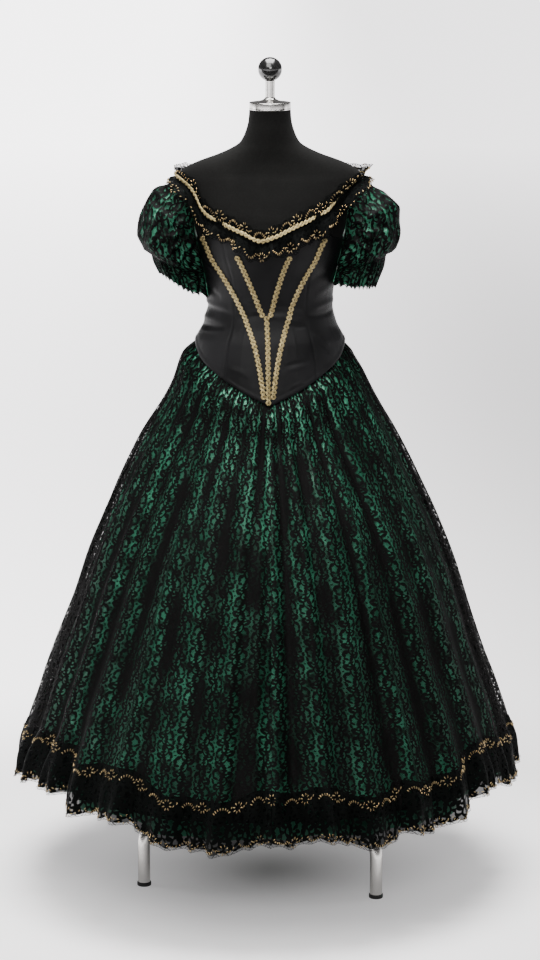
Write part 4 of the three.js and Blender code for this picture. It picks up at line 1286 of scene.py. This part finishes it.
def frillFace(angle, share, off=0.0):
    ruffle = 1.7 * math.sin(42 * angle + 1.5 * math.sin(3 * angle)) + 1.2 * math.sin(67 * angle + 2.0)
    ruffle += 1.5 * wrinkle(math.cos(angle) * 100, math.sin(angle) * 100, share * 14, 15.0)
    free = max(0.0, (share - neck["frillLoose"]) / (1 - neck["frillLoose"]))
    point = frillPoint(angle, share, off + 0.2, 1.6 * free + ruffle * free)
    point.z += free * (1.4 * math.sin(28 * angle) + 1.6 * wrinkle(angle * 100, 7.0, 0.0, 21.0))
    return point


frillColumns, frillRows = neck["frillColumns"], neck["frillRows"]
frillGrid = aroundGrid(frillColumns, steps(1.0, 0.0, frillRows), frillFace)
frillMap = flatMap(frillColumns, frillRows, neck["clothWidth"], neck["frillDepth"], edgeUp=True)
neckFrill = settle(clothPiece("neckFrill", frillGrid, frillLace, frillMap, around=True), "black_lace", "neck_frill")

# The braid sinks into the gathers where the lace is pinched: degrees round, and how far out.
braidShow = [
    (-180, 0.0), (-96, 0.0), (-84, 0.0), (-60, 0.0), (-53, -1.5), (-49, -6.0), (-45, -5.0), (-41, 0.0), (-10, 0.0),
    (36, 0.0), (41, -2.0), (46, -6.0), (50, -3.0), (54, -1.0), (60, -3.5), (68, -7.0), (96, -6.0), (118, 0.0),
    (180, 0.0),
]


def neckBraidPoint(share, side, height):
    angle = share * turn
    degrees = math.degrees(angle)
    shown = readTable(braidShow, degrees if degrees <= 180 else degrees - 360)
    narrowed = side * neck["braidSquash"] * (1 + shown / 12)
    share = (neck["braidHalf"] + narrowed) / (neck["braidHalf"] + neck["frillRise"])
    return frillPoint(angle, share, neck["braidOff"] + shown * 0.8 + height)


neckBraid = plaitPiece("neckBraid", "neck_braid", neckBraidPoint, closed=True, count=720)

# Places on the puffs' faces with their normals, to keep the bertha off them.
sleeveGuides = {}
for side in sleeveCovers:
    grid = aroundGrid(48, steps(0.0, 0.375, 6), lambda angle, share: sleevePoint(side, share, angle, 0.0))
    sleeveGuides[side] = [pair for row, line in zip(grid, gridNormals(grid)) for pair in zip(row, line)]


def clearOfSleeve(point, gap):
    best = min(sleeveGuides["left" if point.x > 0 else "right"], key=lambda item: (item[0] - point).length_squared)
    height = best[1].dot(point - best[0])
    return point if height >= gap else point + best[1] * (gap - height)


def berthaPoint(angle, share, off=0.0):
    _, out, shoulderDrop, shoulderOut, wave = (readTable(berthaFall, share, column) for column in range(5))
    atShoulder = shoulder(angle)
    stand = out + (shoulderOut - out) * atShoulder
    fall = share * readTable(berthaDrop, signedDegrees(angle))
    drop = fall + (shoulderDrop - fall) * atShoulder
    seamZ = neckAt(angle) - neck["braidHalf"] - neck["seamDrop"]
    z = seamZ - drop
    ripple = wave * math.cos(neck["waves"] * angle)
    ripple += share * (3.0 * math.sin(33 * angle + 1.4 * math.sin(4 * angle)) + 2.0 * math.sin(51 * angle + 1.0))
    ripple += share * 3.0 * wrinkle(math.cos(angle) * 110, math.sin(angle) * 110, share * 30, 26.0)
    base = figureRadius(angle, seamZ) + neck["standOff"]
    body = bodiceRadius(angle, min(z, 1400)) + 4.2
    radius = max(base + stand + ripple, body) + off
    z += share * (2.6 * math.sin(28 * angle + 0.6) + 4.0 * wrinkle(angle * 90, 3.0, 9.0, 24.0))
    point = polar(angle, radius, z)
    if abs(point.x) < neck["frontReach"] or share < 0.05:
        return point
    return clearOfSleeve(point, neck["sleeveGap"] * min(1.0, share * 3) + off)


berthaColumns, berthaSteps = neck["berthaColumns"], neck["berthaRows"]
berthaGrid = aroundGrid(berthaColumns, steps(0.0, 1.0, berthaSteps), berthaPoint)
berthaMap = flatMap(berthaColumns, berthaSteps, neck["clothWidth"], neck["berthaDepth"])
bertha = clothPiece("berthaFlounce", berthaGrid, galloon, berthaMap, around=True)
settle(bertha, "black_lace", "bertha_flounce")

neckLength = neck["clothWidth"] * 1000


def frillSurface(across, up, off):
    return frillFace(across / neckLength * turn, up / neck["frillDepth"] / 1000, off)


def berthaSurface(across, up, off):
    return berthaPoint(across / neckLength * turn, 1 - up / neck["berthaDepth"] / 1000, off)


berthaBeads = beadPiece("berthaBeads", [
    *beadRow(neckLength, berthaSurface, False, 14.0, 5.0), *beadRow(neckLength, frillSurface, True, 17.5, 31.0),
])
print("neckline made")

# Skirt.
skirt = {
    "spread": [(0, 0), (0.03, 0.075), (0.1, 0.145), (0.23, 0.32), (0.42, 0.535), (0.64, 0.73), (0.84, 0.9), (1, 1)],
    "folds": 30,
    "tuck": 12,
    "gores": 10,
    "waistCloth": 0.235,  # radius of the cloth at the waist edge before it is gathered
    "hemCloth": 0.53,
    "clothLength": 0.96,
    "goreShift": 0.46,  # between one gore's pattern and the next
    "gatherFade": 0.07,  # share of the length over which the gathers die out
    "sway": 7, "waver": 2.2,  # wandering of the folds, broad and fine
    "hipIn": 10, "hemIn": 9,  # the wearer's left hangs straighter
}
# follow: how far the satin's hem keeps up with the flounce's swags; length of the cloth in metres
satinSkirt = {
    "radius": 479, "fold": 9, "hem": 222, "under": 6.9, "wall": 0.8, "follow": 0.9, "columns": 390, "rows": 100,
    "length": 0.96,
}
laceSkirt = {
    "radius": 497, "fold": 11, "hem": 262, "under": 4.6, "wall": 0, "follow": 0.0, "columns": 540, "rows": 120,
    "length": 0.93,
}
flounce = {
    "rows": [(0, 318, 2.6, 1), (1, 266, 10.5, 4), (2, 215, 13, 7)],  # place, height, distance out, ripple
    # sewn on in uneven swags: degrees round from the front, lift
    "swags": [
        (-180, 6), (-165, -10), (-150, 8), (-138, -8), (-124, 12), (-108, -6), (-90, 2), (-74, 22), (-63, 40),
        (-56, 34), (-49, 14), (-42, 22), (-35, 26), (-29, 8), (-22, -12), (-9, -13), (0, 12), (5, -1), (12, 14),
        (21, -14), (28, -13), (33, 4), (39, -7), (48, 2), (55, 22), (62, 36), (72, 16), (88, -2), (104, 10),
        (120, -8),
        (134, 9), (150, -9), (166, -4), (180, 6),
    ],
    "columns": 1200, "grid": 26, "clothWidth": 3.9, "clothDepth": 0.108,
    "ruffle": 6.4, "crumple": 6.0,
}


def flounceLift(angle):
    return readTable(flounce["swags"], signedDegrees(angle))


def foldAngle(phase):
    a = phase / skirt["folds"]
    return a + (0.3 * math.sin(3 * a) + 0.25 * math.sin(5 * a + 2)) / skirt["folds"]


def foldDepth(angle):
    return 0.85 + 0.22 * math.sin(4 * angle + 0.7) + 0.15 * math.sin(7 * angle + 2)


def skirtRadius(layer, angle, share, phase):
    waist = bodiceRadius(angle, edgeAt(angle)) - layer["under"]
    spread = readTable(skirt["spread"], share)
    depth = layer["fold"] * foldDepth(angle) * (0.16 + 0.84 * share ** 0.8)
    lead = min(1.0, share / 0.03)
    radius = waist + (layer["radius"] - waist) * spread + depth * math.cos(phase) * lead
    leftward = math.sin(angle)
    radius -= (
        skirt["hipIn"] * bump(share, 0.035, 0.035) * max(0.0, leftward) ** 3 + skirt["hemIn"] * share ** 4 * leftward
    )
    number = phase / turn
    own = layer["radius"] * 0.01
    # lesser folds between the main ones come and go on their way down
    lesser = math.cos(2 * phase + 1.7 * math.sin(number * 0.9 + own))
    lesser *= 0.22 + 0.25 * math.sin(3.1 * angle + own + 3 * share)
    ridge = -0.3 * (1 - math.cos(phase)) ** 2 / 4
    radius += depth * lead * (lesser + ridge) * 0.8
    gathers = math.exp(-share / skirt["gatherFade"]) * lead
    radius += gathers * (1.5 * math.cos(3 * phase + own) + 1.1 * math.cos(5.3 * phase + 2))
    sway = skirt["sway"] * wrinkle(angle * 260, own * 9, share * 700, 150.0)
    sway += skirt["waver"] * wrinkle(angle * 330, own * 5, share * 500, 55.0)
    return radius + sway * min(1.0, share * 6)


def skirtPiece(name, layer, material, slot, node):
    columns, rows = layer["columns"], layer["rows"]
    phases = [c / columns * skirt["folds"] * turn for c in range(columns)]
    shares = [(i / rows) ** 1.15 for i in range(rows + 1)]
    tucked = []  # the top row lies under the bodice's edge
    for phase in phases:
        angle = foldAngle(phase)
        z = edgeAt(angle) + skirt["tuck"]
        tucked.append(polar(angle, bodiceRadius(angle, z) - layer["under"], z))
    grid = [tucked]
    for share in shares:
        grid.append([])
        for phase in phases:
            angle = foldAngle(phase)
            hem = layer["hem"] + layer["follow"] * max(0.0, flounceLift(angle))
            z = edgeAt(angle) + (hem - edgeAt(angle)) * share
            grid[-1].append(polar(angle, skirtRadius(layer, angle, share, phase), z))

    # Each gore keeps its own straight grain, so the lace repeat meets at the gore seams.
    def uvAt(r, c):
        share = shares[r - 1] if r else 0.0
        radius = skirt["waistCloth"] + (skirt["hemCloth"] - skirt["waistCloth"]) * share
        part, goreTurn = c / columns, 1 / skirt["gores"]
        gore = min(skirt["gores"] - 1, int(part / goreTurn))
        across = (part - (gore + 0.5) * goreTurn) * turn * radius
        return (across + gore * skirt["goreShift"], (1 - share) * skirt["clothLength"])

    inner = shrunk(grid, layer["wall"]) if layer["wall"] else None
    piece = settle(clothPiece(name, grid, material, uvAt, around=True, inner=inner), slot, node)
    return piece


# A second map on the lace says where it stands proud, 1 on a ridge and 0 in a hollow; the lace's material paints shade
# in the hollows from it.
def mapFolds(piece, columns, reach):
    mesh = piece.data
    away = [math.hypot(v.co.x, v.co.y) for v in mesh.vertices]
    values = []
    for first in range(0, len(away), columns):
        row = away[first:first + columns]
        total = sum(row[c % columns] for c in range(-reach, reach + 1))
        mean = []
        for c in range(columns):
            mean.append(total / (2 * reach + 1))
            total += row[(c + reach + 1) % columns] - row[(c - reach) % columns]
        off = [a - b for a, b in zip(row, mean)]
        for c in range(columns):
            most = max(1e-4, max(abs(off[(c + k) % columns]) for k in range(-reach, reach + 1)))
            values.append(0.5 + 0.5 * off[c] / most)
    layer = mesh.uv_layers.new(name="fold")
    layer.data.foreach_set("uv", [part for loop in mesh.loops for part in (values[loop.vertex_index], 0.0)])
    mesh.uv_layers.active = mesh.uv_layers["cloth"]


skirtSatin = skirtPiece("skirtSatin", satinSkirt, greenSatin, "green_satin", "skirt_satin")
# the wall's faces are listed outside, inside, outside, inside
# the inside faces take the near-black copy of the green satin, painted shade inside the skirt
skirtSatin.data.materials.append(satinBackShade)
for i in range(1, 2 * (satinSkirt["rows"] + 1) * satinSkirt["columns"], 2):
    skirtSatin.data.polygons[i].material_index = 1
skirtLace = skirtPiece("skirtLace", laceSkirt, blackLace, "black_lace", "skirt_lace")
mapFolds(skirtLace, laceSkirt["columns"], laceSkirt["columns"] // skirt["folds"] // 2)
print("skirts made")

# Hem flounce.
def flouncePoint(part, down, off=0.0):
    phase = part * skirt["folds"] * turn
    angle = foldAngle(phase)
    height, out, ripple = (readTable(flounce["rows"], down * 2, column) for column in (1, 2, 3))
    z = height + flounceLift(angle)
    share = min(1.0, (edgeAt(angle) - z) / (edgeAt(angle) - laceSkirt["hem"]))
    wave = ripple * (math.cos(phase) * 0.6 + math.cos(2 * phase + 3 * angle) * 0.4)
    wave += down * flounce["ruffle"] * math.cos(2.6 * phase + 4 * math.sin(angle * 2))
    wave += down * flounce["crumple"] * wrinkle(angle * 500, 1.0, down * 60, 34.0)
    base = skirtRadius(laceSkirt, angle, share, phase) + out * (0.35 + 0.65 * down)
    z += down * flounce["crumple"] * wrinkle(angle * 500, 5.0, 0.0, 30.0)
    return polar(angle, base + wave + off, z)


flounceColumns, flounceRows = flounce["columns"], flounce["grid"]
flounceGrid = [
    [flouncePoint(c / flounceColumns, down) for c in range(flounceColumns)] for down in steps(0.0, 1.0, flounceRows)
]
flounceMap = flatMap(flounceColumns, flounceRows, flounce["clothWidth"], flounce["clothDepth"])
hemFlounce = clothPiece("hemFlounce", flounceGrid, galloon, flounceMap, around=True)
settle(hemFlounce, "black_lace", "hem_flounce")
flounceLength = flounce["clothWidth"] * 1000


def flounceSurface(across, up, off):
    return flouncePoint(across / flounceLength, 1 - up / (flounce["clothDepth"] * 1000), off)


flounceBeads = beadPiece("flounceBeads", [
    *beadRow(flounceLength, flounceSurface, False, 19.0), *beadRow(flounceLength, flounceSurface, True, 92.0, 28.0),
])
print("flounce made")

# Floor.
reach = studio["floorReach"]
corners = [(-reach, -reach, 0), (reach, -reach, 0), (reach, reach, 0), (-reach, reach, 0)]
floorMesh = bpy.data.meshes.new("studioFloor")
floorMesh.from_pydata(corners, [], [(0, 1, 2, 3)])
floorMesh.materials.append(floorPaint)
addPiece("studioFloor", floorMesh)
